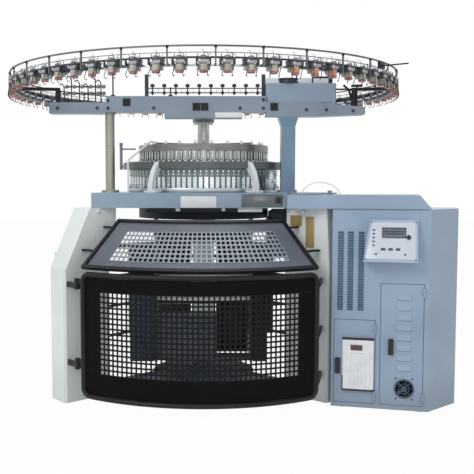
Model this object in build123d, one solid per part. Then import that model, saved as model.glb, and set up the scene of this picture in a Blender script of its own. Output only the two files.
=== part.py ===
from build123d import *
import os
from math import acos, asin, atan2, cos, degrees, hypot, pi, radians, sin, sqrt, tan

# Large circular knitting machine, in millimetres. The origin is on the floor under the
# machine's vertical axis, +X points to the control cabinet, +Y to the rear and +Z up.

# Clearances and directions
front_angle = 268.6
running_fit = 0.05
skin_gap = 0.3
side_play = 0.2

# Floor frame, legs and bed
base_radius = 330
base_thickness = 20
anchor_circle = 280
anchor_count = 6
anchor_hole = 9
boss_radius = 60
boss_top = 80
pivot_radius = 20
pivot_length = 40
spoke_width = 80
spoke_height = 60
foot_radius = 45
foot_height = 12
front_leg_spread = 48
leg_width = 160
leg_depth = 300
leg_outer = 1090
cabinet_leg_outer = 1030
leg_knee = 770
leg_head_setback = 160
cabinet_head_setback = 20
leg_head_inner = 740
rear_head_inner = 660
leg_edge = 12
bed_low = 1107
bed_thickness = 86
bed_front = 620
bed_front_half = 643
bed_side_left = 670
bed_side_right = 800
bed_shoulder = 420
bed_rear = 800
bed_rear_half = 330
bed_corner = 15
bed_lip = 13
bed_roof = 25

# Drive train inside the bed
gear_module = 14
ring_teeth = 60
pinion_teeth = 25
backlash = 0.6
gear_height = 29.7
gear_bore = 320
bed_bore = 345
roof_bore = 390
drive_angle = -30.3
shaft_radius = 20
shaft_pulley_radius = 110
motor_pulley_radius = 45
pulley_width = 40
pulley_drop = 27
motor_place = (500, 60)
motor_side = 170
motor_height = 240
motor_shaft_radius = 12
motor_socket = 30
belt_thickness = 6
bracket_plate = 12

# Needle cylinder and its cams
cylinder_radius = 381
cylinder_wall = 41
cylinder_top = 1372
cam_inner = 392
base_ring_radius = 490
base_ring_height = 28
cam_height = 65
cam_outer = 478
cam_width = 22
cam_count = 90
cam_band_radius = 475
cam_band_height = 49
guide_inner = 500
guide_outer = 520
guide_low = 1337
guide_height = 38
bracket_angles = (58, 122, 238, 302)
bracket_width = 30
bracket_foot = 596
pipe_angle = 220
pipe_bend = 12
pipe_radius = 6

# Dial
dial_gap = 4
dial_radius = 375
dial_thickness = 8
dial_cam_gap = 2
dial_cam_radius = 412
dial_cam_height = 59
dial_cam_count = 48
dial_cam_depth = 110
dial_plate_radius = 418
dial_plate_height = 41
dial_hub_radius = 39
dial_hub_height = 91
dial_post_radius = 27.5
dial_shaft_radius = 15

# Columns and top yoke
column_place = (-571, -300)
column_radius = 28.5
square_column = 84
rear_column_y = 600
rear_column_radius = 40
beam_front = 350
beam_depth = 100
arm_low = 1669
arm_high = 1735
left_arm_end = -931
beam_left = -587
beam_right = 378
beam_low = 1676
beam_high = 1772
right_arm_low = 1651
right_arm_end = 974
arm_tip_low = 1663
arm_tip_high = 1706
hub_half = 235
hub_low = 1641
spine_width = 140
spine_high = 1740
housing_right = 802
housing_depth = 320
housing_high = 1850
cap_side = 44
cap_thickness = 6
cap_places = ((-463, 1735), (-43, 1708), (6, 1708), (425, 1708))
quality_radius = 55
quality_height = 30

# Yarn feeding ring
rail_outer = 1178
rail_width = 20
rail_low = 1826
rail_height = 10
feeder_count = 64
feeder_width = 76
feeder_height = 24
feeder_reach = 43
feeder_overhang = 14
wheel_offset = 22
wheel_radius = 20
wheel_height = 46
tape_height = 10
tape_thickness = 3
tape_offset = 14
hoop_offset = 31
hoop_width = 8
hoop_low = 1914
hoop_height = 8
post_side = 8
strut_width = 30
strut_height = 18
strut_sink = 30
fence_post_x = (-347, 366)
fence_post_side = 22
fence_post_top = 1910
fence_rails = (1800, 1827)
fence_bar = 6
eyelet_count = 10
eyelet_radius = 12
signal_angle = -36.5
signal_length = 157
signal_drop = 34
signal_half = 32

# Take-down under the cylinder
takedown_half = 316
takedown_plate = 16
takedown_depth = 220
takedown_low = 90
takedown_bar = 24
takedown_ring_inner = 290
takedown_ring_outer = 338
takedown_ring_height = 30
draw_roller_radius = 26
draw_roller_height = 640
draw_roller_gap = 3
cloth_roller_radius = 45
cloth_roller_height = 500
roller_journal = 10
gearbox_right = 90
gearbox_high = 396
gearbox_depth = 150
gearbox_wheel_radius = 80

# Safety guards
guard_radius = 1100
guard_spread = 35
guard_low = 80
guard_high = 775
guard_tube = 14
guard_bend = 45
sheet_thickness = 3
sheet_edge = 36
window_columns = 15
window_rows = 5
window_spread = 28.8
window_low = 224
window_high = 672
window_rib = 9
guard_pin_offset = 37.5
guard_pin_radius = 8
guard_knuckle_radius = 14
guard_hinge_heights = (262, 703)
guard_hinge_half = 30
clip_heights = (160, 420, 690)
clip_height = 30
clip_plate = 10
cone_low = 792
cone_high = 1040
cone_top_radius = 800
cone_edge = 10
cone_columns = 15
cone_rows = 2
rear_guard_setback = 140
rear_guard_low = 100
rear_guard_high = 800
rear_guard_bar = 20
rear_guard_rails = 4
rear_guard_panels = 4
rear_guard_gap = 10
rear_ear_height = 30
rear_ear_half = 6

# Control cabinet, in its own frame: x along the front, y into it
cabinet_place = (708, -806)
cabinet_turn = -13.6
cabinet_width = 520
cabinet_reach = 674.5
cabinet_flank = 212.2
cabinet_depth = 400
cabinet_notch = (160, 250)
cabinet_cheek = 30
cabinet_low = 12
cabinet_high = 1109
cabinet_wall = 12
cover_high = 1185
cover_reach = 250
cover_lip = 112
cover_chamfer = 60
cover_edge = 5
cover_step = (85, 43)
cabinet_foot_radius = 25
door_gap = 2.5
door_thickness = 18
left_door = (16, 236, 40, 500)
right_door = (265, 490, 40, 705)
hinge_offset = 7
hinge_barrel = 6
hinge_pin = 3
hinge_length = 50
hinge_inset = 20
handle_size = (28, 88, 14)
handle_shaft = 5
handle_gap = 1
left_handle = (36, 268)
right_handle = (321, 385)
inverter_box = (66, 228, 118, 394)
inverter_depth = 60
inverter_proud = 20
inverter_flange = 4
fan_centre = (394, 132)
fan_opening = 46
fan_ring = 6
fan_pin = 4
fan_hub = 16
fan_blades = 5
louvre_span = (354, 426, 227, 668)
louvre_count = 8
louvre_rise = 7
strip_columns = (46, 99, 156)
strip_width = 26
strip_span = (560, 980)
strip_count = 9
strip_depth = 6
console_span = (170, 450)
console_low = 836
console_top = 1053
console_lean = 110
console_lip = 20
console_taper = 32
screen_size = (110, 46)
screen_lift = 2
key_count = 3
key_size = (22, 12)
key_pitch = 38
key_row = -50
key_lift = 5
key_depth = 6
key_travel = 3
knob_place = (92, 18)
screen_place = (17, 45)
knob_radius = 11
knob_height = 14
knob_shaft = 3
control_box = (150, 120, 500)

# Heights and places that follow
leg_head_outer = leg_outer - leg_head_setback
cabinet_head_outer = cabinet_leg_outer - cabinet_head_setback
guard_pin_angle = front_angle - guard_pin_offset
rear_guard_radius = leg_outer - rear_guard_setback
bed_top = bed_low + bed_thickness
cavity_low = bed_low + bed_lip
cavity_high = bed_top - bed_roof
gear_low = cavity_low + skin_gap
gear_high = gear_low + gear_height
ring_pitch = gear_module * ring_teeth / 2
pinion_pitch = gear_module * pinion_teeth / 2
drive_distance = ring_pitch + pinion_pitch
drive_x = drive_distance * cos(radians(drive_angle))
drive_y = drive_distance * sin(radians(drive_angle))
cam_low = bed_top + base_ring_height
band_low = cam_low + cam_height
dial_low = cylinder_top + dial_gap
dial_cam_low = dial_low + dial_thickness + dial_cam_gap
dial_plate_low = dial_cam_low + dial_cam_height
dial_plate_high = dial_plate_low + dial_plate_height
dial_hub_high = dial_plate_high + dial_hub_height
rail_inner = rail_outer - rail_width
feeder_outer = rail_outer + feeder_reach
wheel_circle = rail_outer + wheel_offset
tape_radius = rail_outer + tape_offset
hoop_inner = rail_outer + hoop_offset
hoop_outer = hoop_inner + hoop_width
rail_high = rail_low + rail_height
feeder_high = rail_high + feeder_height
feeder_step = 360 / feeder_count
pulley_high = bed_low - pulley_drop
pulley_low = pulley_high - pulley_width
beam_middle = -beam_front + beam_depth / 2
cabinet = Pos(*cabinet_place, 0) * Rot(0, 0, cabinet_turn)


def disc(radius, low, high, x=0, y=0):
    return Pos(x, y, (low + high) / 2) * Cylinder(radius, high - low)


def ring(inner, outer, low, high, x=0, y=0):
    return disc(outer, low, high, x, y) - disc(inner, low, high, x, y)


def block(x_low, x_high, y_low, y_high, z_low, z_high):
    middle = ((x_low + x_high) / 2, (y_low + y_high) / 2, (z_low + z_high) / 2)
    return Pos(*middle) * Box(x_high - x_low, y_high - y_low, z_high - z_low)


def outline(points):
    return make_face(Polyline(*points, close=True))


def plan(points, low, high):
    return Pos(0, 0, low) * extrude(outline(points), high - low)


def upright(points, width):
    """A plate whose outline is given as outward distance and height."""
    return extrude(Plane.XZ * outline(points), width / 2, both=True)


def turned(angle, shape):
    return Rot(0, 0, angle) * shape


def polar(radius, angle):
    return (radius * cos(radians(angle)), radius * sin(radians(angle)))


def group(*shapes):
    return Compound([solid for shape in shapes for solid in shape.solids()])


def around(angles, shape):
    return group(*[turned(angle, shape) for angle in angles])


def rod(start, end, radius):
    start, end = Vector(*start), Vector(*end)
    return extrude(Plane(origin=start, z_dir=end - start) * Circle(radius), (end - start).length)


# Gears

def gear_outline(teeth, phase):
    """Full-depth spur teeth with a 20 degree pressure angle, one tooth centred on the phase."""
    pitch = gear_module * teeth / 2
    base = pitch * cos(radians(20))
    tip, root = pitch + gear_module, pitch - 1.25 * gear_module
    involute = lambda r: tan(acos(min(1, base / r))) - acos(min(1, base / r))
    half_pitch = pi / (2 * teeth) - backlash / (2 * pitch)
    points = []
    for tooth in range(teeth):
        middle = radians(phase) + 2 * pi * tooth / teeth
        for radius, side in ((root, -1), (tip, -1), (tip, 1), (root, 1)):
            half = half_pitch + involute(pitch) - involute(radius)
            angle = middle + side * half
            points.append((radius * cos(angle), radius * sin(angle)))
    return points


def ring_gear():
    wheel = plan(gear_outline(ring_teeth, drive_angle), gear_low, gear_high)
    return wheel - disc(gear_bore, gear_low - 1, gear_high + 1)


def drive_pinion():
    half_tooth = 180 / pinion_teeth
    wheel = plan(gear_outline(pinion_teeth, drive_angle + 180 + half_tooth), gear_low, gear_high)
    return Pos(drive_x, drive_y) * (wheel - disc(shaft_radius, gear_low - 1, gear_high + 1))


# Frame

def base_frame():
    plate = disc(base_radius, 0, base_thickness) + disc(boss_radius, base_thickness, boss_top)
    plate -= disc(pivot_radius + running_fit, boss_top - pivot_length, boss_top + 1)
    spots = [polar(anchor_circle, 360 * k / anchor_count) for k in range(anchor_count)]
    for x, y in spots:
        plate -= disc(anchor_hole, -1, base_thickness + 1, x, y)
    for angle, outer in leg_places():
        inner_face = outer - leg_depth
        arm = block(boss_radius * 0.8, inner_face, -spoke_width / 2, spoke_width / 2, 0, spoke_height)
        plate += turned(angle, arm)
    return plate


def leg_places():
    left, right = front_angle - front_leg_spread, front_angle + front_leg_spread
    return ((left, leg_outer), (right, cabinet_leg_outer), (90, leg_outer))


def leg(angle, outer, head_outer, head_inner):
    inner = outer - leg_depth
    points = [
        (outer, foot_height),
        (outer, leg_knee),
        (head_outer, bed_low),
        (head_inner, bed_low),
        (head_inner, bed_low - 0.4 * leg_depth),
        (inner, bed_low - leg_depth),
        (inner, foot_height),
    ]
    body = upright(points, leg_width)
    outer_edges = [
        edge for edge in body.edges()
        if min(v.X for v in edge.vertices()) > head_outer - 1
        and abs(edge.vertices()[0].Y - edge.vertices()[-1].Y) < 1
        and min(v.Z for v in edge.vertices()) < leg_knee + 1
        and abs(edge.vertices()[0].Z - edge.vertices()[-1].Z) > 1
    ]
    return turned(angle, chamfer(outer_edges, leg_edge))


def levelling_feet():
    pads = []
    for angle, outer in leg_places():
        for reach in (outer - 2 * foot_radius, outer - leg_depth + 2 * foot_radius):
            pads.append(disc(foot_radius, 0, foot_height, *polar(reach, angle)))
    inset = 2.5 * cabinet_foot_radius
    corners = [(inset, inset), (cabinet_width - inset, inset)]
    corners += [(cabinet_reach - inset, cabinet_depth - inset), (cabinet_notch[0] + inset, cabinet_depth - inset)]
    pads += [cabinet * disc(cabinet_foot_radius, 0, cabinet_low, x, y) for x, y in corners]
    return group(*pads)


def bed_plate():
    corners = [
        (-bed_front_half, -bed_front),
        (bed_front_half, -bed_front),
        (bed_side_right, -bed_shoulder),
        (bed_rear_half, bed_rear),
        (-bed_rear_half, bed_rear),
        (-bed_side_left, -bed_shoulder),
    ]
    body = plan(corners, bed_low, bed_top)
    body = fillet(body.edges().filter_by(Axis.Z), bed_corner)
    body -= disc(bed_bore, bed_low - 1, cavity_low)
    body -= disc(ring_pitch + gear_module + 16, cavity_low, cavity_high)
    body -= disc(pinion_pitch + gear_module + 3, cavity_low, cavity_high, drive_x, drive_y)
    body -= disc(roof_bore, cavity_high, bed_top + 1)
    body -= disc(shaft_radius + running_fit, bed_low - 1, bed_top + 1, drive_x, drive_y)
    return body


def column_left():
    x, y = column_place
    pipe = disc(column_radius, bed_top, arm_low, x, y)
    flange = disc(1.9 * column_radius, bed_top, bed_top + 14, x, y)
    return pipe + flange


def column_right():
    half = square_column / 2
    x, y = drive_x, drive_y
    body = block(x - half, x + half, y - half, y + half, bed_top, right_arm_low)
    body += block(x - half - 10, x + half + 10, y - half - 10, y + half + 10, bed_top, bed_top + 16)
    flare = loft([
        Pos(x, y, right_arm_low - 60) * Rectangle(square_column, square_column),
        Pos(x, y, right_arm_low) * Rectangle(square_column + 36, square_column + 16),
    ])
    return body + flare - disc(shaft_radius + 4, bed_top - 1, right_arm_low + 1, x, y)


def column_rear():
    foot = disc(1.8 * rear_column_radius, bed_top, bed_top + 16, 0, rear_column_y)
    return foot + disc(rear_column_radius, bed_top, beam_low, 0, rear_column_y)


def top_yoke():
    front, back = -beam_front, -beam_front + beam_depth
    body = block(beam_left, beam_right, front, back, beam_low, beam_high)
    body += block(left_arm_end, beam_left, front, back, arm_low, arm_high)
    body += disc(1.4 * column_radius, arm_low, beam_low, *column_place)
    step = beam_right + 68
    taper_start = step + 0.45 * (right_arm_end - step)
    arm = [
        (beam_right, right_arm_low),
        (taper_start, right_arm_low),
        (right_arm_end, arm_tip_low),
        (right_arm_end, arm_tip_high),
        (taper_start, arm_high),
        (beam_right, arm_high),
    ]
    body += Pos(0, beam_middle) * upright(arm, beam_depth)
    half = spine_width / 2
    spine_end = rear_column_y + 1.5 * rear_column_radius
    body += block(-half, half, back, spine_end, beam_low, spine_high)
    body += block(-hub_half, hub_half, front, back, hub_low, beam_low)
    body += disc(half, hub_low, beam_low)
    body -= disc(dial_shaft_radius + running_fit, hub_low - 1, spine_high + 1)
    return body - disc(shaft_radius + running_fit, right_arm_low - 1, beam_high, drive_x, drive_y)


def beam_caps():
    front = -beam_front
    half = cap_side / 2
    return group(*[
        block(x - half, x + half, front - cap_thickness, front, z - half, z + half)
        for x, z in cap_places
    ])


def drive_housing():
    front = -beam_front + 10
    body = block(beam_right, housing_right, front, front + housing_depth, arm_high, housing_high)
    body = fillet(body.edges().filter_by(Axis.Z), 14)
    return body - disc(shaft_radius + running_fit, arm_high - 1, housing_high + 1, drive_x, drive_y)


def drive_shaft():
    return disc(shaft_radius, pulley_low, housing_high + quality_height, drive_x, drive_y)


def shaft_pulley():
    x, y = drive_x, drive_y
    wheel = disc(shaft_pulley_radius, pulley_low, pulley_high, x, y)
    for low, high in ((pulley_low, pulley_low + 4), (pulley_high - 4, pulley_high)):
        wheel += disc(shaft_pulley_radius + 5, low, high, x, y)
    return wheel - disc(shaft_radius, pulley_low - 1, pulley_high + 1, x, y)


def quality_pulley():
    low = housing_high + side_play
    high = housing_high + quality_height
    x, y = drive_x, drive_y
    wheel = disc(quality_radius, low, high - 6, x, y) + disc(quality_radius + 6, high - 6, high, x, y)
    return wheel - disc(shaft_radius, low - 1, high + 1, x, y)


def motor():
    x, y = motor_place
    half = motor_side / 2
    top = pulley_low - 10
    body = block(x - half, x + half, y - half, y + half, top - motor_height, top)
    body = chamfer(body.edges().filter_by(Axis.Z), 30)
    body += disc(0.42 * motor_side, top - motor_height - 20, top - motor_height, x, y)
    return body - disc(motor_shaft_radius + running_fit, top - motor_socket, top + 1, x, y)


def motor_bracket():
    x, y = motor_place
    half = motor_side / 2
    side = x + half
    top = pulley_low - 10
    low = top - 0.6 * motor_height
    plate = block(side, side + bracket_plate, y - 0.5 * half, y + 0.5 * half, low, bed_low)
    shelf = block(x + 0.7 * half, side, y - 0.5 * half, y + 0.5 * half, bed_low - bracket_plate, bed_low)
    return plate + shelf


def motor_pulley():
    x, y = motor_place
    wheel = disc(motor_pulley_radius, pulley_low, pulley_high, x, y)
    for low, high in ((pulley_low, pulley_low + 4), (pulley_high - 4, pulley_high)):
        wheel += disc(motor_pulley_radius + 5, low, high, x, y)
    return wheel + disc(motor_shaft_radius, pulley_low - 8 - motor_socket, pulley_low, x, y)


def drive_belt():
    """An open belt round both pulleys, a flat band with its two straight runs tangent to them."""
    start, end = Vector(drive_x, drive_y), Vector(*motor_place)
    low, high = pulley_low + 4 + side_play, pulley_high - 4 - side_play
    span = (end - start).length
    heading = degrees(atan2(end.Y - start.Y, end.X - start.X))

    def loop(grow):
        big, small = shaft_pulley_radius + grow, motor_pulley_radius + grow
        lean = asin((big - small) / span)
        wedge = [
            (big * sin(lean), big * cos(lean)),
            (span + small * sin(lean), small * cos(lean)),
            (span + small * sin(lean), -small * cos(lean)),
            (big * sin(lean), -big * cos(lean)),
        ]
        return plan(wedge, low, high) + disc(big, low, high) + disc(small, low, high, span, 0)

    band = loop(skin_gap + belt_thickness) - loop(skin_gap)
    return Pos(drive_x, drive_y) * turned(heading, band)


# Cylinder and cams

def needle_cylinder():
    wall = ring(cylinder_radius - cylinder_wall, cylinder_radius, gear_high, cylinder_top)
    return wall - ring(cylinder_radius - 14, cylinder_radius + 1, cylinder_top - 6, cylinder_top + 1)


def cam_blocks():
    bar = block(cam_inner, cam_outer, -cam_width / 2, cam_width / 2, cam_low, band_low)
    return around([360 * k / cam_count for k in range(cam_count)], bar)


def guide_brackets():
    """Bowed arms from the bed to a ledge under the guide ring."""
    low, foot_top = bed_top, bed_top + 12
    top = guide_low + guide_height
    ledge = 8
    outer = guide_outer + skin_gap
    foot_inner = bracket_foot - 66
    edges = [
        Line((foot_inner, low), (bracket_foot, low)),
        Line((bracket_foot, low), (bracket_foot, foot_top)),
        ThreePointArc((bracket_foot, foot_top), (bracket_foot - 12, 0.55 * low + 0.45 * top), (outer, top)),
        Line((outer, top), (outer, guide_low)),
        Line((outer, guide_low), (guide_inner, guide_low)),
        Line((guide_inner, guide_low), (guide_inner, guide_low - ledge)),
        ThreePointArc((guide_inner, guide_low - ledge), (bracket_foot - 40, 0.6 * low + 0.4 * top),
                      (bracket_foot - 30, foot_top)),
        Line((bracket_foot - 30, foot_top), (foot_inner, foot_top)),
        Line((foot_inner, foot_top), (foot_inner, low)),
    ]
    arm = extrude(Plane.XZ * make_face(edges), bracket_width / 2, both=True)
    return around(bracket_angles, arm)


def air_pipe():
    """A thin pipe from the dial plate over the guide ring and down to the bed."""
    start, out = dial_plate_radius - 2 * pipe_radius, guide_outer + 12 * pipe_radius
    points = [
        (start, 0, dial_plate_high),
        (start, 0, dial_plate_high + 2.5 * pipe_bend),
        (out, 0, guide_low + guide_height + 2 * pipe_radius),
        (out, 0, bed_top),
    ]
    path = FilletPolyline(*points, radius=pipe_bend)
    section = Plane(origin=points[0], z_dir=(0, 0, 1)) * Circle(pipe_radius)
    return turned(pipe_angle, sweep(section, path))


# Dial

def dial_disc():
    shaft_top = spine_high + 10
    body = disc(dial_radius, dial_low, dial_low + dial_thickness)
    return body + disc(dial_shaft_radius, dial_low, shaft_top)


def dial_cams():
    inner = dial_cam_radius - dial_cam_depth
    pitch = 2 * pi * dial_cam_radius / dial_cam_count
    bar = block(inner, dial_cam_radius, -0.33 * pitch, 0.33 * pitch, dial_cam_low, dial_plate_low)
    return around([360 * k / dial_cam_count for k in range(dial_cam_count)], bar)


def dial_plate():
    body = disc(dial_plate_radius, dial_plate_low, dial_plate_high)
    rib = block(dial_hub_radius, 0.85 * dial_plate_radius, -8, 8, dial_plate_high, dial_plate_high + 18)
    for k in range(6):
        body += turned(60 * k + 30, rib)
    return body - disc(dial_shaft_radius + running_fit, dial_plate_low - 1, dial_plate_high + 1)


def dial_post():
    body = disc(dial_hub_radius, dial_plate_high, dial_hub_high)
    body += disc(dial_post_radius, dial_hub_high, hub_low)
    return body - disc(dial_shaft_radius + running_fit, dial_plate_high - 1, hub_low + 1)


# Feeding ring

def feeders():
    """One storage feeder: a box clamped on the rail, with its six-sided wheel below."""
    inner = rail_outer - feeder_overhang
    box = block(inner, feeder_outer, -feeder_width / 2, feeder_width / 2, rail_high, feeder_high)
    wheel_low = rail_high - wheel_height
    wheel = Pos(wheel_circle, 0, wheel_low) * extrude(RegularPolygon(wheel_radius, 6), wheel_height)
    return around([feeder_step * k for k in range(feeder_count)], box + wheel)


def feeder_tape():
    outline_face = RegularPolygon(tape_radius, feeder_count)
    outline_face -= RegularPolygon(tape_radius - tape_thickness, feeder_count)
    return Pos(0, 0, feeder_high) * extrude(outline_face, tape_height)


def upper_hoop():
    hoop = ring(hoop_inner, hoop_outer, hoop_low, hoop_low + hoop_height)
    middle = (hoop_inner + hoop_outer) / 2
    half = post_side / 2
    foot = block(rail_outer + skin_gap, middle + half, -half, half, rail_low, rail_high)
    post = block(middle - half, middle + half, -half, half, rail_high, hoop_low)
    for k in range(feeder_count // 2):
        hoop += turned(feeder_step * (2 * k + 0.5), foot + post)
    return hoop


def reach_to_rail(x, y, angle):
    """How far a level bar from this spot runs before it is well under the rail."""
    dx, dy = cos(radians(angle)), sin(radians(angle))
    along = x * dx + y * dy
    edge = rail_outer - 4
    return sqrt(edge ** 2 - (x * x + y * y - along * along)) - along


def ring_struts(yoke):
    """Posts on the yoke with level bars that run out under the feeder rail."""
    half = strut_width / 2
    low = rail_low - strut_height
    spots = [
        (left_arm_end + 46, beam_middle, arm_high, 188),
        (right_arm_end - 60, beam_middle, arm_tip_high, 352),
        (0, rear_column_y, spine_high, 90),
    ]
    pieces = []
    for x, y, seat, angle in spots:
        reach = reach_to_rail(x, y, angle)
        bar = block(-half, reach, -half, half, low, rail_low)
        post = disc(half, seat - strut_sink, low)
        pieces.append(Pos(x, y) * turned(angle, bar + post) - yoke)
    return group(*pieces)


def guide_rail():
    """The row of yarn eyelets across the middle, on two bars between two posts."""
    half = fence_post_side / 2
    y = beam_middle + strut_width / 2 + half
    left, right = fence_post_x
    body = None
    for x in fence_post_x:
        post = block(x - half, x + half, y - half, y + half, beam_high, fence_post_top)
        body = post if body is None else body + post
    for z in fence_rails:
        body += block(left, right, y - fence_bar / 2, y + fence_bar / 2, z - fence_bar / 2, z + fence_bar / 2)
    for k in range(eyelet_count):
        x = left + (right - left) * (k + 0.5) / eyelet_count
        body += block(x - 4, x + 4, y - 4, y + 4, fence_rails[0] - 14, fence_rails[1] + 8)
        body += Pos(x, y, fence_rails[1] + 8) * extrude(RegularPolygon(eyelet_radius, 6), 7)
    return body


def signal_rod():
    low = hoop_low - signal_drop
    middle = low + 0.4 * signal_drop
    body = block(hoop_inner + 2, hoop_outer + 10, -signal_half, signal_half, low, hoop_low)
    rod_shape = rod((hoop_outer, 0, middle), (hoop_outer + signal_length, 0, middle), 4)
    return turned(signal_angle, body + rod_shape)


# Take-down

def takedown_frame():
    inner_x = takedown_half - takedown_plate
    half = takedown_depth / 2
    ring_low = gear_low - takedown_ring_height
    body = ring(takedown_ring_inner, takedown_ring_outer, ring_low, gear_low)
    for side in (-1, 1):
        low_x, high_x = sorted((side * inner_x, side * takedown_half))
        body += block(low_x, high_x, -half, half, takedown_low, ring_low)
    body += block(-inner_x, inner_x, -boss_radius, boss_radius, takedown_low, takedown_low + takedown_bar)
    body += disc(pivot_radius, boss_top - pivot_length + 2, takedown_low)
    body += disc(boss_radius, boss_top + side_play, takedown_low)
    for y, z, radius in roller_places():
        body -= Pos(0, y, z) * Rot(0, 90, 0) * Cylinder(roller_journal + running_fit, 2 * takedown_half)
    return body


def roller_places():
    spread = draw_roller_radius + draw_roller_gap / 2
    return (
        (-spread, draw_roller_height, draw_roller_radius),
        (spread, draw_roller_height, draw_roller_radius),
        (0, cloth_roller_height, cloth_roller_radius),
    )


def roller(index):
    y, z, radius = roller_places()[index]
    inner_x = takedown_half - takedown_plate
    drum = Pos(0, y, z) * Rot(0, 90, 0) * Cylinder(radius, 2 * (inner_x - side_play))
    journal = Pos(0, y, z) * Rot(0, 90, 0) * Cylinder(roller_journal, 2 * takedown_half)
    return drum + journal


def takedown_gearbox():
    left = -(takedown_half - takedown_plate)
    half = gearbox_depth / 2
    low = takedown_low + takedown_bar
    body = block(left, gearbox_right, -half, half, low, gearbox_high)
    body = fillet(body.edges().filter_by(Axis.Z).group_by(Axis.X)[-1], 12)
    x = 0.2 * left
    z = 0.5 * (low + gearbox_high)
    wheel = Pos(x, -half - 10, z) * Rot(90, 0, 0) * Cylinder(gearbox_wheel_radius, 20)
    return body + wheel


# Guards

def guard_tube_loop():
    """The door's tube: two level bends round the machine, two uprights and four corners."""
    low, high = guard_low + guard_tube, guard_high - guard_tube
    bend = degrees(atan2(guard_bend, guard_radius))
    first, last = front_angle - guard_spread + bend, front_angle + guard_spread - bend
    drop = Vector(0, 0, -guard_bend)

    def level(height, start, end):
        points = [Vector(*polar(guard_radius, a), height) for a in (start, (start + end) / 2, end)]
        return ThreePointArc(*points)

    def corner(angle, sense, height, down):
        x, y = polar(guard_radius, angle)
        point = Vector(x, y, height)
        out = Vector(-sin(radians(angle)), cos(radians(angle)), 0) * sense * guard_bend
        centre = point + drop * down
        knee = centre + (out - drop * down) * cos(radians(45))
        return point, knee, centre + out

    tops = [corner(first, -1, high, 1), corner(last, 1, high, 1)]
    feet = [corner(first, -1, low, -1), corner(last, 1, low, -1)]
    pieces = [level(high, first, last), level(low, first, last)]
    pieces += [ThreePointArc(*points) for points in tops + feet]
    pieces += [Line(feet[0][2], tops[0][2]), Line(feet[1][2], tops[1][2])]
    loop = None
    for edge in pieces:
        tube = sweep(Plane(origin=edge @ 0, z_dir=edge % 0) * Circle(guard_tube), edge)
        loop = tube if loop is None else loop + tube
    return loop


def guard_upright(side):
    """Where the upright on this side of the door stands."""
    bend = degrees(atan2(guard_bend, guard_radius))
    angle = front_angle + side * (guard_spread - bend)
    x, y = polar(guard_radius, angle)
    return x - side * sin(radians(angle)) * guard_bend, y + side * cos(radians(angle)) * guard_bend


def guard_pin():
    return polar(guard_radius, guard_pin_angle)


def guard_door_frame():
    tube = guard_tube_loop()
    x, y = guard_pin()
    tube_x, tube_y = guard_upright(-1)
    heading = degrees(atan2(tube_y - y, tube_x - x))
    span = hypot(tube_x - x, tube_y - y)
    for z in guard_hinge_heights:
        strap = block(0, span, -4, 4, z, z + guard_hinge_half)
        knuckle = disc(guard_knuckle_radius, z, z + guard_hinge_half)
        strap = strap + knuckle - disc(guard_pin_radius + running_fit, z - 1, z + guard_hinge_half + 1)
        tube += Pos(x, y) * turned(heading, strap)
    return tube


def guard_hinges():
    """Fixed knuckles with their pins, on brackets from the left leg."""
    angle, outer = leg_places()[0]
    x, y = guard_pin()
    out = x * cos(radians(angle)) + y * sin(radians(angle))
    along = -x * sin(radians(angle)) + y * cos(radians(angle))
    pieces = []
    for z in guard_hinge_heights:
        low = z - guard_hinge_half
        knuckle = disc(guard_knuckle_radius, low, z, out, along)
        pin = disc(guard_pin_radius, z, z + guard_hinge_half, out, along)
        arm = block(out - 22, out - 8, leg_width / 2, along, low, z)
        pieces.append(turned(angle, knuckle + pin + arm))
    return group(*pieces)


def guard_sheet():
    """The door's perforated sheet, rolled to the guard's radius."""
    half = sheet_thickness / 2
    inset = guard_tube + skin_gap
    low, high = guard_low + guard_tube + inset, guard_high - guard_tube - inset
    x, y = guard_upright(1)
    edge_angle = 90 - degrees(atan2(-y, x)) - degrees(inset / guard_radius)
    profile = [(guard_radius - half, low), (guard_radius + half, low), (guard_radius + half, high)]
    profile.append((guard_radius - half, high))
    sheet = revolve(Plane.XZ * outline(profile), Axis.Z, 2 * edge_angle)
    sheet = turned(front_angle - edge_angle, sheet)
    corners = [edge for edge in sheet.edges() if abs(edge.length - sheet_thickness) < 0.01]
    return fillet(corners, sheet_edge)


def guard_door_panel():
    sheet = guard_sheet()
    step = 2 * window_spread / window_columns
    rise = (window_high - window_low) / window_rows
    width = 2 * guard_radius * sin(radians(step / 2)) - window_rib
    windows = []
    for column in range(window_columns):
        angle = front_angle - window_spread + (column + 0.5) * step
        for row in range(window_rows):
            z = window_low + (row + 0.5) * rise
            hole = Pos(guard_radius, 0, z) * Box(30, width, rise - window_rib)
            windows.append(turned(angle, hole))
    return sheet - windows


def guard_clips():
    """Stops on the right leg that the closed door's tube rests against."""
    angle, outer = leg_places()[1]
    x, y = guard_upright(1)
    out = x * cos(radians(angle)) + y * sin(radians(angle))
    along = -x * sin(radians(angle)) + y * cos(radians(angle))
    face = -leg_width / 2
    end = along + guard_tube + skin_gap
    start_out = outer - leg_edge - 40
    points = [
        (start_out, face),
        (start_out + 1.6 * clip_plate, face),
        (out + clip_plate, end),
        (out - clip_plate, end),
    ]
    return group(*[turned(angle, plan(points, z, z + clip_height)) for z in clip_heights])


def cone_line():
    start = (guard_radius, cone_low)
    span = hypot(guard_radius - cone_top_radius, cone_high - cone_low)
    along = ((cone_top_radius - guard_radius) / span, (cone_high - cone_low) / span)
    return start, span, along


def cone_profile(first, last, half):
    """A strip of the sloping guard between two distances up its slope."""
    start, span, (ax, az) = cone_line()
    nx, nz = az, -ax
    corners = []
    for reach, side in ((first, -1), (last, -1), (last, 1), (first, 1)):
        corners.append((start[0] + reach * ax + side * half * nx, start[1] + reach * az + side * half * nz))
    return corners


def cone_band(first, last, half):
    band = revolve(Plane.XZ * outline(cone_profile(first, last, half)), Axis.Z, 2 * guard_spread)
    return turned(front_angle - guard_spread, band)


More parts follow.
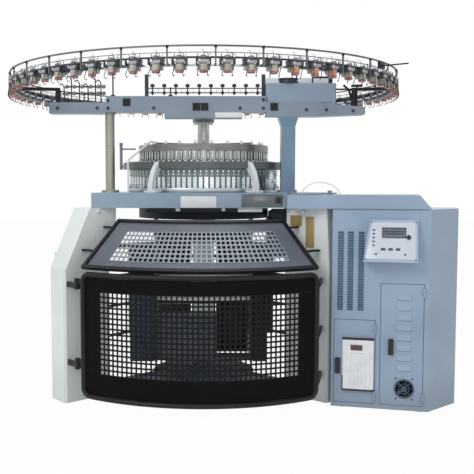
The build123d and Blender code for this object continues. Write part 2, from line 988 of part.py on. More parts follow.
def upper_guard_frame():
    start, span, along = cone_line()
    edge = 2 * cone_edge
    frame = cone_band(0, edge, cone_edge) + cone_band(span - edge, span, cone_edge)
    side = upright(cone_profile(0, span, cone_edge), edge)
    for angle in (front_angle - guard_spread, front_angle + guard_spread):
        frame += turned(angle, side)
    return frame


def upper_guard_panel(frame):
    start, span, (ax, az) = cone_line()
    edge = 2 * cone_edge
    sheet = cone_band(edge, span - edge, sheet_thickness / 2) - frame
    sheet = max(sheet.solids(), key=lambda s: s.volume)
    step = 2 * window_spread / cone_columns
    first, last = 0.16 * span, 0.82 * span
    rise = (last - first) / cone_rows
    lean = degrees(atan2(az, -ax))
    windows = []
    for column in range(cone_columns):
        angle = front_angle - window_spread + (column + 0.5) * step
        for row in range(cone_rows):
            reach = first + (row + 0.5) * rise
            x, z = guard_radius + reach * ax, cone_low + reach * az
            width = 2 * (x - rise * 0.35) * sin(radians(step / 2)) - window_rib
            hole = Pos(x, 0, z) * Rot(0, lean, 0) * Box(rise - window_rib, width, 40)
            windows.append(turned(angle, hole))
    return sheet - windows


def upper_guard_brackets(frame):
    """Short plates that carry the sloping guard from the two front legs."""
    start, span, (ax, az) = cone_line()
    pieces = []
    for (angle, outer), side in zip(leg_places()[:2], (1, -1)):
        guard_angle = front_angle - side * guard_spread
        for share in (0.35, 0.85):
            radius = guard_radius + share * span * ax
            height = cone_low + share * span * az
            x, y = polar(radius, guard_angle)
            out = x * cos(radians(angle)) + y * sin(radians(angle))
            along = -x * sin(radians(angle)) + y * cos(radians(angle))
            low_y, high_y = sorted((side * leg_width / 2, along))
            raw = block(out - 26, out + 6, low_y, high_y, height - 10, height)
            raw = turned(angle, raw) - frame
            pieces.append(max(raw.solids(), key=lambda s: s.volume))
    return group(*pieces)


def rear_guard(first, last):
    """A run of flat barred panels behind the machine; the first, beside the rear leg, is closed by a sheet."""
    half = rear_guard_bar / 2
    step = (last - first) / rear_guard_panels
    reach = rear_guard_radius * sin(radians(abs(step) / 2))
    middle = rear_guard_radius * cos(radians(step / 2))
    rise = (rear_guard_high - rear_guard_low - 2 * rear_guard_bar) / (rear_guard_rails - 1)
    posts = []
    for k in range(rear_guard_panels + 1):
        post = block(-half, half, -half, half, rear_guard_low, rear_guard_high)
        posts.append(Pos(*polar(rear_guard_radius, first + k * step)) * turned(first + k * step, post))
    panels = [posts[-1]]
    for k in range(rear_guard_panels):
        panel = posts[k]
        for row in range(rear_guard_rails):
            z = rear_guard_low + rear_guard_bar + row * rise
            rail = block(middle - half / 2, middle + half / 2, -reach, reach, z - half, z + half)
            panel += turned(first + (k + 0.5) * step, rail)
        if k == 0:
            sheet = block(middle - half / 4, middle + half / 4, -reach, reach, rear_guard_low, rear_guard_high)
            panel += turned(first + (k + 0.5) * step, sheet)
        panels.append(max((panel - posts[k + 1]).solids(), key=lambda s: s.volume))
    return group(*panels)


def rear_guard_ends():
    """Angles where the two rear guards start and stop, and the leg that each end stands beside."""
    step = degrees(atan2(leg_width / 2 + rear_guard_gap + rear_guard_bar, rear_guard_radius))
    left_leg = front_angle - front_leg_spread
    corner = cabinet * Pos(cabinet_notch[0], cabinet_depth + 2 * rear_guard_bar)
    x, y, z = corner.position
    return (90 + step, left_leg - step), (90 - step, degrees(atan2(y, x)))


def rear_guards():
    (left_first, left_last), (right_first, right_last) = rear_guard_ends()
    runs = [rear_guard(left_first, left_last), rear_guard(right_first, right_last)]
    heights = (rear_guard_low + 100, rear_guard_high - 130)
    ears = []
    ends = ((90, 1, left_first), (90, -1, right_first), (front_angle - front_leg_spread, -1, left_last))
    for angle, side, end in ends:
        x, y = polar(rear_guard_radius, end)
        out = x * cos(radians(angle)) + y * sin(radians(angle))
        along = -x * sin(radians(angle)) + y * cos(radians(angle))
        low_y, high_y = sorted((side * leg_width / 2, along))
        for z in heights:
            ear = block(out - rear_ear_half, out + rear_ear_half, low_y, high_y, z, z + rear_ear_height)
            ears.append(turned(angle, ear))
    local = cabinet.inverse() * Pos(*polar(rear_guard_radius, right_last))
    x, y, z = local.position
    for z in heights:
        ear = block(x - 4, cabinet_notch[0] + 2 * cabinet_wall, cabinet_depth, y + 4, z, z + rear_ear_height)
        ears.append(cabinet * ear)
    bars = [bar for run in runs for bar in run.solids()]
    ears = [max((ear - bars).solids(), key=lambda s: s.volume) for ear in ears]
    return group(*bars, *ears)


# Control cabinet

def cabinet_corners(inset):
    """The cabinet's plan, moved inwards by a distance, as its corners."""
    notch_x, notch_y = cabinet_notch
    corners = [
        Vector(0, 0),
        Vector(cabinet_width, 0),
        Vector(cabinet_reach, cabinet_flank),
        Vector(cabinet_reach, cabinet_depth),
        Vector(notch_x, cabinet_depth),
        Vector(notch_x, notch_y),
        Vector(0, cabinet_cheek),
    ]
    moved = []
    for k, corner in enumerate(corners):
        before = (corner - corners[k - 1]).normalized()
        after = (corners[(k + 1) % len(corners)] - corner).normalized()
        inward = Vector(-before.Y - after.Y, before.X + after.X).normalized()
        moved.append(corner + inward * (inset / (inward.X * -before.Y + inward.Y * before.X)))
    return [(point.X, point.Y) for point in moved]


def vent_strips(panel):
    """Three columns of fine slots cut part of the way into the panel."""
    low, high = strip_span
    rise = (high - low) / strip_count
    for x in strip_columns:
        for k in range(strip_count):
            z = low + k * rise
            groove = [(-1, z), (strip_depth, z), (strip_depth, z + 0.3 * rise), (-1, z + 0.75 * rise)]
            panel -= Pos(x, 0, 0) * extrude(Plane.YZ * outline(groove), strip_width / 2, both=True)
    return panel


def cabinet_front():
    """The front wall as upright and level pieces round the two door openings."""
    left, right, low, high = left_door
    next_left, next_right, next_low, next_high = right_door
    g = door_gap
    wall = cabinet_wall
    inner_right = cabinet_corners(wall)[1][0]
    stiles = [(0, left - g, cabinet_high), (right + g, next_left - g, cabinet_high)]
    pieces = [block(a, b, 0, wall, cabinet_low, top) for a, b, top in stiles]
    end = next_right + g
    pieces.append(plan([(end, 0), (cabinet_width, 0), (inner_right, wall), (end, wall)], cabinet_low, cabinet_high))
    for a, b, bottom, top in ((left, right, low, high), (next_left, next_right, next_low, next_high)):
        pieces.append(block(a - g, b + g, 0, wall, cabinet_low, bottom - g))
        pieces.append(block(a - g, b + g, 0, wall, top + g, cabinet_high))
    pieces[4] = vent_strips(pieces[4])
    return pieces


def cabinet_shell():
    """Walls, floor and roof of the cabinet, each a plate of its own, and the fixed hinge halves."""
    outer = cabinet_corners(0)
    inner = cabinet_corners(cabinet_wall)
    walls = []
    for k in range(1, len(outer)):
        after = (k + 1) % len(outer)
        walls.append(plan([outer[k], outer[after], inner[after], inner[k]], cabinet_low, cabinet_high))
    walls[-1] = walls[-1] - block(-1, cabinet_cheek, -1, cabinet_wall, cabinet_low - 1, cabinet_high + 1)
    floor = plan(inner, cabinet_low, cabinet_low + cabinet_wall)
    roof = plan(inner, cabinet_high - cabinet_wall, cabinet_high)
    return group(*cabinet_front(), *walls, floor, roof, cabinet_hinges())


def cabinet_cover():
    """The cap of the cabinet: it reaches over the leg to the bed and slopes down at its right end."""
    notch_y = cover_lip + cover_step[1]
    points = [
        (-cover_reach, 0),
        (cabinet_width, 0),
        (cabinet_width, cabinet_depth),
        (cabinet_wall, cabinet_depth),
        (-cover_step[0], notch_y),
        (-cover_reach, cover_lip),
    ]
    slope = [
        (cabinet_width - cover_chamfer, cover_high + 1),
        (cabinet_width - cover_chamfer, cover_high),
        (cabinet_width, cabinet_high + cover_edge),
        (cabinet_width + 1, cabinet_high + cover_edge),
        (cabinet_width + 1, cover_high + 1),
    ]
    cut = Pos(0, cabinet_depth / 2) * upright(slope, cabinet_depth + 2)
    return plan(points, cabinet_high, cover_high) - cut


def door_axis(door):
    left, right, low, high = door
    return right + 1, -hinge_offset


def hinge_heights(door):
    left, right, low, high = door
    return low + hinge_inset, high - hinge_inset - hinge_length


def cabinet_hinges():
    pieces = []
    for door in (left_door, right_door):
        x, y = door_axis(door)
        for z in hinge_heights(door):
            barrel = disc(hinge_barrel, z, z + hinge_length / 2, x, y)
            pin = disc(hinge_pin, z, z + hinge_length, x, y)
            leaf = block(x, x + 16, -4, 0, z, z + hinge_length / 2)
            pieces.append(barrel + pin + leaf)
    return group(*pieces)


def door_leaf(door):
    left, right, low, high = door
    panel = block(left, right, 0, door_thickness, low, high)
    x, y = door_axis(door)
    for z in hinge_heights(door):
        start, end = z + hinge_length / 2, z + hinge_length
        knuckle = disc(hinge_barrel, start, end, x, y) + block(x - 18, x, -4, 0, start, end)
        panel += knuckle - disc(hinge_pin + running_fit, start - 1, end + 1, x, y)
    return panel


def cross_hole(x, z, radius):
    return Pos(x, 0, z) * Rot(90, 0, 0) * Cylinder(radius, 4 * door_thickness)


def cabinet_door_left():
    panel = door_leaf(left_door)
    left, right, low, high = inverter_box
    panel -= block(left - 0.5, right + 0.5, -30, door_thickness + 1, low - 0.5, high + 0.5)
    return panel - cross_hole(*left_handle, handle_shaft + running_fit)


def cabinet_door_right():
    panel = door_leaf(right_door) - cross_hole(*right_handle, handle_shaft + running_fit)
    panel -= cross_hole(*fan_centre, fan_opening)
    left, right, low, high = louvre_span
    rise = (high - low) / louvre_count
    for k in range(louvre_count):
        z = low + k * rise
        rib = [(0, z), (-louvre_rise, z + 0.12 * rise), (0, z + 0.6 * rise)]
        panel += Pos((left + right) / 2) * extrude(Plane.YZ * outline(rib), (right - left) / 2, both=True)
    return panel


def handle(place):
    x, z = place
    width, length, depth = handle_size
    short = 0.22 * length
    grip = block(x - width / 2, x + width / 2, -depth, -handle_gap, z + short - length, z + short)
    grip = fillet(grip.edges().filter_by(Axis.Y), 6)
    shaft = Pos(x, 0, z) * Rot(90, 0, 0) * Cylinder(handle_shaft, 2 * door_thickness)
    return grip + (shaft & block(x - 50, x + 50, -depth, door_thickness, z - 50, z + 50))


def inverter_unit():
    left, right, low, high = inverter_box
    body = block(left, right, -inverter_proud, inverter_depth, low, high)
    edge = inverter_flange
    body += block(left - edge, right + edge, -edge, 0, low - edge, high + edge)
    return body - block(left + 40, right - 54, -inverter_proud - 1, -inverter_proud + 3, high - 54, high - 22)


def fan_grille():
    x, z = fan_centre
    at = Pos(x, -fan_ring / 2, z) * Rot(90, 0, 0)
    body = Cylinder(fan_opening + 7, fan_ring) - Cylinder(fan_opening - 1, fan_ring)
    body += Cylinder(0.66 * fan_opening, fan_ring / 2) - Cylinder(0.66 * fan_opening - 4, fan_ring / 2)
    body += Cylinder(fan_hub, fan_ring)
    for angle in (45, 135):
        body += Rot(0, 0, angle) * Box(2 * fan_opening, 5, fan_ring / 2)
    pin = Pos(x, (door_thickness - fan_ring) / 2, z) * Rot(90, 0, 0) * Cylinder(fan_pin, door_thickness + fan_ring)
    return at * body + pin


def fan_rotor():
    x, z = fan_centre
    height = door_thickness - 5
    body = Cylinder(fan_hub, height)
    blade = Pos((fan_opening - 4) / 2) * Rot(28, 0, 0) * Box(fan_opening - 4, height * 0.8, 2.5)
    for k in range(fan_blades):
        body += Rot(0, 0, 360 * k / fan_blades) * blade
    body -= Cylinder(fan_pin + running_fit, 4 * height)
    return Pos(x, 1 + side_play + height / 2, z) * Rot(90, 0, 0) * body


def control_unit():
    width, depth, height = control_box
    right = cabinet_reach - cabinet_wall
    back = cabinet_depth - cabinet_wall
    low = cabinet_low + cabinet_wall
    return block(right - width, right, back - depth, back, low, low + height)


def console_plane():
    """The console's leaning face: x along the cabinet, z out of the face."""
    lean = atan2(console_lean, console_top - console_low)
    middle_x = sum(console_span) / 2
    middle = Vector(middle_x, -console_lip - console_lean / 2, (console_low + console_top) / 2)
    return Plane(origin=middle, x_dir=(1, 0, 0), z_dir=(0, -cos(lean), sin(lean)))


def key_places():
    first = -(key_count - 1) / 2
    return [((first + k) * key_pitch, key_row) for k in range(key_count)]


def console():
    left, right = console_span
    profile = [
        (0, console_top),
        (-console_lip, console_top),
        (-console_lip - console_lean, console_low),
        (-0.5 * console_lean, console_low - 12),
        (0, console_low - 12),
    ]
    body = Pos((left + right) / 2) * extrude(Plane.YZ * outline(profile), (right - left) / 2, both=True)
    corner = [(left, console_low), (left + console_taper, console_top + 1), (left - 1, console_top + 1), (left - 1, console_low)]
    body -= upright(corner, 4 * (console_lean + console_lip))
    face = console_plane()
    play = 2 * skin_gap
    depth = key_depth + key_travel + play
    for x, y in key_places():
        body -= face * Pos(x, y, -depth / 2 + 0.5) * Box(key_size[0] + play, key_size[1] + play, depth + 1)
    return body - face * Pos(*knob_place, -4.5) * Cylinder(knob_shaft + running_fit, 11)


def console_key(place):
    height = key_lift + key_depth
    return console_plane() * Pos(*place, key_lift - height / 2) * Box(*key_size, height)


def console_knob():
    grip = Pos(0, 0, knob_height / 2 + side_play) * Cylinder(knob_radius, knob_height)
    grip += Pos(0, knob_radius * 0.6, knob_height + side_play + 1) * Box(3, knob_radius * 0.7, 2)
    stem = Pos(0, 0, -4) * Cylinder(knob_shaft, 8 + 2 * side_play + 2)
    return console_plane() * Pos(*knob_place) * (grip + stem)


def console_screen():
    return console_plane() * Pos(*screen_place, screen_lift / 2) * Box(*screen_size, screen_lift)


# Writing the pieces out

leg_spots = leg_places()
yoke = top_yoke()
cone_frame = upper_guard_frame()

pieces = {
    "base_frame": base_frame(),
    "levelling_feet": levelling_feet(),
    "machine_legs": group(
        leg(*leg_spots[0], leg_head_outer, leg_head_inner),
        leg(*leg_spots[1], cabinet_head_outer, leg_head_inner),
        leg(*leg_spots[2], leg_head_outer, rear_head_inner),
    ),
    "bed_plate": bed_plate(),
    "round_columns": group(column_left(), column_rear()),
    "square_column": column_right(),
    "top_yoke": yoke,
    "beam_caps": beam_caps(),
    "drive_housing": drive_housing(),
    "drive_shaft": drive_shaft(),
    "drive_pinion": drive_pinion(),
    "shaft_pulleys": group(shaft_pulley(), quality_pulley()),
    "motor": group(motor(), motor_bracket()),
    "motor_pulley": motor_pulley(),
    "drive_belt": drive_belt(),
    "ring_gear": ring_gear(),
    "needle_cylinder": needle_cylinder(),
    "cam_rings": group(
        ring(cam_inner, base_ring_radius, bed_top, cam_low),
        ring(cam_inner, cam_band_radius, band_low, band_low + cam_band_height),
    ),
    "cam_blocks": cam_blocks(),
    "guide_ring": ring(guide_inner, guide_outer, guide_low, guide_low + guide_height),
    "guide_brackets": guide_brackets(),
    "air_pipe": air_pipe(),
    "dial_disc": dial_disc(),
    "dial_cams": dial_cams(),
    "dial_plate": dial_plate(),
    "dial_post": dial_post(),
    "feeder_rail": ring(rail_inner, rail_outer, rail_low, rail_high),
    "yarn_feeders": feeders(),
    "feeder_tape": feeder_tape(),
    "upper_hoop": upper_hoop(),
    "ring_struts": ring_struts(yoke),
    "guide_rail": guide_rail(),
    "signal_rod": signal_rod(),
    "takedown_frame": takedown_frame(),
    "takedown_gearbox": takedown_gearbox(),
    "draw_roller_front": roller(0),
    "draw_roller_rear": roller(1),
    "cloth_roller": roller(2),
    "guard_door_frame": guard_door_frame(),
    "guard_door_panel": guard_door_panel(),
    "guard_mounts": group(guard_hinges(), guard_clips()),
    "upper_guard_frame": group(cone_frame, upper_guard_brackets(cone_frame)),
    "upper_guard_panel": upper_guard_panel(cone_frame),
    "rear_guards": rear_guards(),
}

cabinet_pieces = {
    "cabinet_shell": cabinet_shell(),
    "cabinet_cover": cabinet_cover(),
    "cabinet_door_left": cabinet_door_left(),
    "cabinet_door_right": cabinet_door_right(),
    "door_handle_left": handle(left_handle),
    "door_handle_right": handle(right_handle),
    "inverter_unit": inverter_unit(),
    "fan_grille": fan_grille(),
    "fan_rotor": fan_rotor(),
    "control_unit": control_unit(),
    "console": console(),
    "console_screen": console_screen(),
    "console_knob": console_knob(),
}
for number, place in enumerate(key_places(), start=1):
    cabinet_pieces[f"console_key_{number}"] = console_key(place)

os.makedirs("parts", exist_ok=True)
for name, shape in pieces.items():
    export_step(shape, f"parts/{name}.step")
for name, shape in cabinet_pieces.items():
    export_step(cabinet * shape, f"parts/{name}.step")
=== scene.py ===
from math import atan2, cos, pi, radians, sin

import bmesh
import bpy
from mathutils import Matrix, Vector


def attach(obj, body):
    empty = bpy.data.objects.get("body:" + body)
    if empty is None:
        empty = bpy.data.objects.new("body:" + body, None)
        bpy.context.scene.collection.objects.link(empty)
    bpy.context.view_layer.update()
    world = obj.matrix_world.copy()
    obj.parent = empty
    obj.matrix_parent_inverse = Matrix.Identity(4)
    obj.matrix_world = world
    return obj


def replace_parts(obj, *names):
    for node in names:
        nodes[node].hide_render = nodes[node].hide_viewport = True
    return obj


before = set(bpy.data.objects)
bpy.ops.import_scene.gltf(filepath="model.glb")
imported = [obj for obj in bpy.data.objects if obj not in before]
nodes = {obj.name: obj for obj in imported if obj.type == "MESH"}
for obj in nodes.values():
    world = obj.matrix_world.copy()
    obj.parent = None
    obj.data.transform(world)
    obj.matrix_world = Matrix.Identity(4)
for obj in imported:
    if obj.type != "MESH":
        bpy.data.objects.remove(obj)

scene = bpy.context.scene
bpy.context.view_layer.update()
print("frame loaded:", len(nodes), "nodes")

# camera at the photo's place: 4.94 m in front, 1.25 m up, tipped 4.09 degrees down
view = {"distance": 4.94, "height": 1.25, "tip": 4.09, "lens": 57.34, "shift": 33.5 / 474}
cameraData = bpy.data.cameras.new("photoCamera")
cameraData.sensor_width = 36
cameraData.lens = view["lens"]
cameraData.shift_x = view["shift"]
camera = bpy.data.objects.new("photoCamera", cameraData)
camera.location = (0, -view["distance"], view["height"])
camera.rotation_euler = (radians(90 - view["tip"]), 0, 0)
scene.collection.objects.link(camera)
scene.camera = camera


# node helpers
def toLinear(hexColour):
    parts = [int(hexColour[i:i + 2], 16) / 255 for i in (0, 2, 4)]
    return [p / 12.92 if p <= 0.04045 else ((p + 0.055) / 1.055) ** 2.4 for p in parts] + [1.0]


def addNode(tree, kind, settings=None, links=None):
    node = tree.nodes.new(kind)
    for key, value in (settings or {}).items():
        if isinstance(key, str) and hasattr(node, key):
            setattr(node, key, value)
        else:
            node.inputs[key].default_value = value
    for key, source in (links or {}).items():
        tree.links.new(source, node.inputs[key])
    return node


def newMaterial(name, settings):
    material = bpy.data.materials.new(name)
    material.use_nodes = True
    tree = material.node_tree
    tree.nodes.clear()
    shader = addNode(tree, "ShaderNodeBsdfPrincipled", settings)
    out = addNode(tree, "ShaderNodeOutputMaterial")
    tree.links.new(shader.outputs[0], out.inputs["Surface"])
    place = addNode(tree, "ShaderNodeTexCoord").outputs["Object"]
    return material, tree, shader, place


def mottle(tree, place, tones, scale, stretch=(1, 1, 1), detail=4, edges=(0.35, 0.65)):
    # two tones of one colour, mixed by noise whose cells measure 1 / scale metres, so 3.2 drifts over 310 mm
    spread = addNode(tree, "ShaderNodeMapping", {"Scale": stretch}, {"Vector": place})
    noise = addNode(tree, "ShaderNodeTexNoise", {"Scale": scale, "Detail": detail}, {"Vector": spread.outputs[0]})
    ramp = addNode(tree, "ShaderNodeValToRGB", None, {"Fac": noise.outputs["Fac"]})
    ramp.color_ramp.elements[0].position = edges[0]
    ramp.color_ramp.elements[1].position = edges[1]
    ramp.color_ramp.elements[0].color = toLinear(tones[0])
    ramp.color_ramp.elements[1].color = toLinear(tones[1])
    return ramp.outputs["Color"], noise.outputs["Fac"]


def relief(tree, shader, height, distance, strength=0.5):
    bump = addNode(tree, "ShaderNodeBump", {"Strength": strength, "Distance": distance}, {"Height": height})
    tree.links.new(bump.outputs[0], shader.inputs["Normal"])


def roughBetween(tree, shader, source, low, high):
    ranged = addNode(tree, "ShaderNodeMapRange", {"To Min": low, "To Max": high}, {"Value": source})
    tree.links.new(ranged.outputs[0], shader.inputs["Roughness"])


def enamel(name, tones, rough=0.36, footDarkening=0.0, coat=0.25, shine=0.5):
    # sprayed enamel on sheet steel: satin, a faint orange peel and slow colour drift
    material, tree, shader, place = newMaterial(name, {"IOR": 1.5, "Coat Weight": coat, "Coat Roughness": 0.18,
                                                        "Specular IOR Level": shine})
    colour, drift = mottle(tree, place, tones, 3.2, detail=3)
    if footDarkening:
        split = addNode(tree, "ShaderNodeSeparateXYZ", None, {"Vector": place})
        low = addNode(tree, "ShaderNodeMapRange",
                      {"From Min": 0.0, "From Max": 0.22, "To Min": footDarkening, "To Max": 0.0},
                      {"Value": split.outputs["Z"]})  # darker towards the floor over the lowest 220 mm
        darkenedBase = addNode(tree, "ShaderNodeMix", {"data_type": "RGBA", 7: toLinear("6E6A62")},
                       {0: low.outputs[0], 6: colour})
        colour = darkenedBase.outputs[2]
    tree.links.new(colour, shader.inputs["Base Color"])
    peel = addNode(tree, "ShaderNodeTexNoise", {"Scale": 240.0, "Detail": 2.0}, {"Vector": place})  # 4 mm cells
    relief(tree, shader, peel.outputs["Fac"], 0.0006, 0.18)
    roughBetween(tree, shader, drift, rough - 0.05, rough + 0.08)
    return material


def steel(name, tones, rough=0.28, stretch=(1, 1, 40), scale=9.0, depth=0.0004):
    # machined steel: fine tool lines, long along the cut and close across it
    material, tree, shader, place = newMaterial(name, {"Metallic": 1.0})
    colour, lines = mottle(tree, place, tones, scale, stretch, 5, (0.3, 0.7))
    tree.links.new(colour, shader.inputs["Base Color"])
    relief(tree, shader, lines, depth, 0.35)
    roughBetween(tree, shader, lines, rough - 0.07, rough + 0.12)
    return material


def moulded(name, tones, rough=0.45, grain=600.0, settings=None):
    # injection-moulded plastic: spark grain, with 1.7 mm cells where the real 0.1 mm wouldn't show
    material, tree, shader, place = newMaterial(name, {"IOR": 1.49, **(settings or {})})
    colour, drift = mottle(tree, place, tones, 25.0)
    tree.links.new(colour, shader.inputs["Base Color"])
    bumps = addNode(tree, "ShaderNodeTexVoronoi", {"Scale": grain}, {"Vector": place})
    relief(tree, shader, bumps.outputs["Distance"], 0.0003, 0.25)
    roughBetween(tree, shader, drift, rough - 0.05, rough + 0.07)
    return material


finish = {
    "cabinetBlue": enamel("cabinetBlueEnamel", ("8EA3BB", "99AEC5"), 0.33, 0.25),
    "bedBlue": enamel("bedBlueGreyEnamel", ("8297A9", "8FA4B5"), 0.38),
    "columnBlue": enamel("columnBlueEnamel", ("64809A", "7090A8"), 0.34),
    "legWhite": enamel("legOffWhiteEnamel", ("DBE2E2", "E6EBEB"), 0.36, 0.16),
    "panelGrey": enamel("guardGreyEnamel", ("7E8793", "8C95A1"), 0.42),
    "black": enamel("blackPowderCoat", ("0E0F12", "16171B"), 0.42, 0, 0.0, 0.3),
    "blackSheet": enamel("blackSheetEnamel", ("070809", "0C0D10"), 0.6, 0, 0.0, 0.2),
    "hoopGrey": enamel("hoopGreyEnamel", ("5A5D60", "6E7174"), 0.4, 0, 0.0),
    "ringGrey": enamel("guideRingEnamel", ("4E5152", "606466"), 0.42, 0, 0.1),
    # painted shade: the yoke's enamel is the housing's blue-grey made darker for the shadow on its arms
    "yokeShadedBlue": enamel("castYokeEnamelPaintedShade", ("7E8B9B", "8996A6"), 0.4, 0, 0.15),
    "housingBlue": enamel("housingEnamel", ("8798AB", "90A2B5"), 0.36),
    "slate": enamel("slateCastEnamel", ("4C5660", "58636E"), 0.46),
    "whiteEnamel": enamel("whiteBracketEnamel", ("DDE2E6", "E8ECEE"), 0.32),
    "bandGreen": enamel("greenGreyCamEnamel", ("70817F", "7D8E8B"), 0.35),
    "smoked": enamel("smokedWindow", ("4E5A5E", "5B686B"), 0.2, 0, 0.6),
    "consoleBlue": enamel("consolePaleEnamel", ("A3B3C9", "AFBED3"), 0.33),
    "facePlate": enamel("consoleFacePlate", ("C3CDDB", "D2DAE5"), 0.3),
    "ventBlue": enamel("ventShadowBlue", ("3C4F66", "4A5F78"), 0.5, 0, 0.0, 0.3),
    "fanBlue": moulded("fanPlastic", ("34485C", "42586E"), 0.45),
    "caseBlue": enamel("takedownCaseEnamel", ("3E4A62", "49566E"), 0.45, 0, 0.0, 0.3),
    "caseDark": enamel("takedownDarkEnamel", ("14171C", "1C2026"), 0.5, 0, 0.0, 0.3),
    # painted shade for the gaps between the cam blocks
    "camGapShade": enamel("camGapPaintedShade", ("7C8887", "8E9A98"), 0.45, 0, 0.0),
    "guardPale": enamel("tapeGuardEnamel", ("D6DADD", "E2E5E7"), 0.4),
    "eyeGrey": enamel("yarnRingGrey", ("9A9DA1", "AEB1B5"), 0.4, 0, 0.1),
    "amber": enamel("amberPlate", ("937D45", "A18A52"), 0.4),
    "orange": enamel("ochrePlate", ("9C8350", "AB9260"), 0.4),
    "sand": enamel("sandPlate", ("C0B094", "CCBCA0"), 0.4),
    "ground": steel("groundSteel", ("B4B9BC", "D2D6D8"), 0.26),
    "turned": steel("turnedSteel", ("9C9E9A", "BDBEBA"), 0.3, (1, 1, 60)),
    "column": steel("oliveTurnedColumn", ("8C8D82", "A5A69B"), 0.36, (1, 1, 50)),
    "camSteel": steel("camSteel", ("BBC4C9", "DCE2E4"), 0.24, (1, 1, 12), 30.0),
    "dialCam": steel("dialCamSteel", ("8C918F", "ACB1AE"), 0.34, (1, 1, 12), 30.0),
    "ringEdge": steel("groundRingEdge", ("A2ACB2", "B6BFC4"), 0.34, (1, 1, 40)),
    "darkSteel": steel("blackenedSteel", ("33353A", "4A4D52"), 0.42, (1, 1, 8), 25.0),
    "dialDark": steel("dialBurnishedSteel", ("6A6B6A", "8B8C8A"), 0.38, (1, 1, 30)),
    "gearIron": steel("hobbedGearIron", ("54565A", "6E7074"), 0.48, (1, 1, 6), 40.0),
    "blackPlastic": moulded("blackNylon", ("0E0E10", "17171A"), 0.42),
    "greyPlastic": moulded("greyHousingPlastic", ("7B7F86", "90949B"), 0.46),
    "feederDark": moulded("feederDarkHousing", ("2B2D32", "3C3F45"), 0.44),
    "feederPale": moulded("feederPaleFace", ("9A9DA2", "B4B7BB"), 0.4),
    "unitWhite": moulded("inverterWhitePlastic", ("E4E8EA", "F0F3F4"), 0.38),
    "unitGrey": moulded("inverterTrimPlastic", ("C9CED2", "D6DADD"), 0.4),
    "tubeWhite": moulded("whiteNylonTube", ("E2E6E8", "F0F2F3"), 0.3, 300.0),
    "rose": moulded("roseClutchDisc", ("A85F60", "BC7A78"), 0.36, 400.0, {"Coat Weight": 0.3}),
    "lensRed": moulded("redDisplayLens", ("3A0F12", "56181B"), 0.14, 900.0, {"Coat Weight": 0.8}),
    "lcd": moulded("displayGlass", ("565F72", "6B7488"), 0.12, 900.0, {"Coat Weight": 0.9}),
    "keyDark": moulded("keycapGrey", ("3B4150", "4C5262"), 0.4),
    "eyeletBrown": steel("eyeletSteel", ("6A6258", "857C70"), 0.34, (1, 1, 10), 30.0),
}


def woundYarn(name, tones):
    # cotton wound on a storage wheel: matt and soft, its turns drawn 13 mm apart where the real 0.3 mm wouldn't show
    material, tree, shader, place = newMaterial(name, {"Roughness": 0.9, "Sheen Weight": 0.4})
    colour = mottle(tree, place, tones, 60.0)[0]
    turns = addNode(tree, "ShaderNodeTexWave", {"bands_direction": "Z", "Scale": 25.0, "Distortion": 1.5},
                    {"Vector": place})
    tree.links.new(colour, shader.inputs["Base Color"])
    relief(tree, shader, turns.outputs["Fac"], 0.0015, 0.8)
    return material


def beltRubber():
    # black rubber with a woven cover: matt, a fine cross rib
    material, tree, shader, place = newMaterial("tapeRubber", {"IOR": 1.52})
    colour, drift = mottle(tree, place, ("35373B", "4A4C50"), 90.0)
    ribs = addNode(tree, "ShaderNodeTexWave", {"bands_direction": "Z", "Scale": 55.0}, {"Vector": place})
    tree.links.new(colour, shader.inputs["Base Color"])
    relief(tree, shader, ribs.outputs["Fac"], 0.0006, 0.6)
    roughBetween(tree, shader, drift, 0.62, 0.8)
    return material


finish["yarnOlive"] = woundYarn("woundOliveYarn", ("A3A493", "C6C6B8"))
finish["yarnOrange"] = woundYarn("woundOrangeYarn", ("C98A5C", "E0A87C"))
finish["rubber"] = beltRubber()

# what each CAD node is made of
nodeFinish = {
    "base_frame": "slate", "levelling_feet": "black", "machine_legs": "legWhite", "bed_plate": "bedBlue",
    "round_columns": "column", "square_column": "columnBlue", "top_yoke": "yokeShadedBlue", "beam_caps": "black",
    "drive_housing": "housingBlue", "drive_shaft": "turned", "drive_pinion": "gearIron",
    "shaft_pulleys": "darkSteel", "motor": "slate", "motor_pulley": "darkSteel", "drive_belt": "rubber",
    "ring_gear": "gearIron", "needle_cylinder": "ground", "cam_rings": "bandGreen", "cam_blocks": "camSteel",
    "guide_ring": "ringGrey", "guide_brackets": "whiteEnamel", "air_pipe": "tubeWhite", "dial_disc": "ground",
    "dial_cams": "dialCam", "dial_plate": "dialDark", "dial_post": "turned", "feeder_rail": "ground",
    "yarn_feeders": "feederDark", "feeder_tape": "rubber", "upper_hoop": "hoopGrey", "ring_struts": "black",
    "guide_rail": "darkSteel", "signal_rod": "black", "takedown_frame": "slate", "takedown_gearbox": "slate",
    "draw_roller_front": "turned", "draw_roller_rear": "turned", "cloth_roller": "turned",
    "guard_door_frame": "black", "guard_door_panel": "blackSheet", "guard_mounts": "black",
    "upper_guard_frame": "black", "upper_guard_panel": "panelGrey", "rear_guards": "black",
    "cabinet_shell": "cabinetBlue", "cabinet_cover": "cabinetBlue", "cabinet_door_left": "cabinetBlue",
    "cabinet_door_right": "cabinetBlue", "door_handle_left": "blackPlastic",
    "door_handle_right": "blackPlastic", "inverter_unit": "unitWhite", "fan_grille": "fanBlue",
    "fan_rotor": "fanBlue", "control_unit": "slate", "console": "consoleBlue", "console_screen": "lcd",
    "console_key_1": "keyDark", "console_key_2": "keyDark", "console_key_3": "keyDark",
    "console_knob": "blackPlastic",
}
for node, chosen in nodeFinish.items():
    for item in nodes[node].material_slots:
        item.material = finish[chosen]
print("finishes:", len(finish))


# mesh helpers; all sizes in metres
toRight = Matrix.Rotation(pi / 2, 4, "Y")
toFront = Matrix.Rotation(pi / 2, 4, "X")


def at(x, y, z, turn=None):
    return Matrix.Translation((x, y, z)) @ (turn or Matrix())


def aboutAxis(degrees):
    return Matrix.Rotation(radians(degrees), 4, "Z")


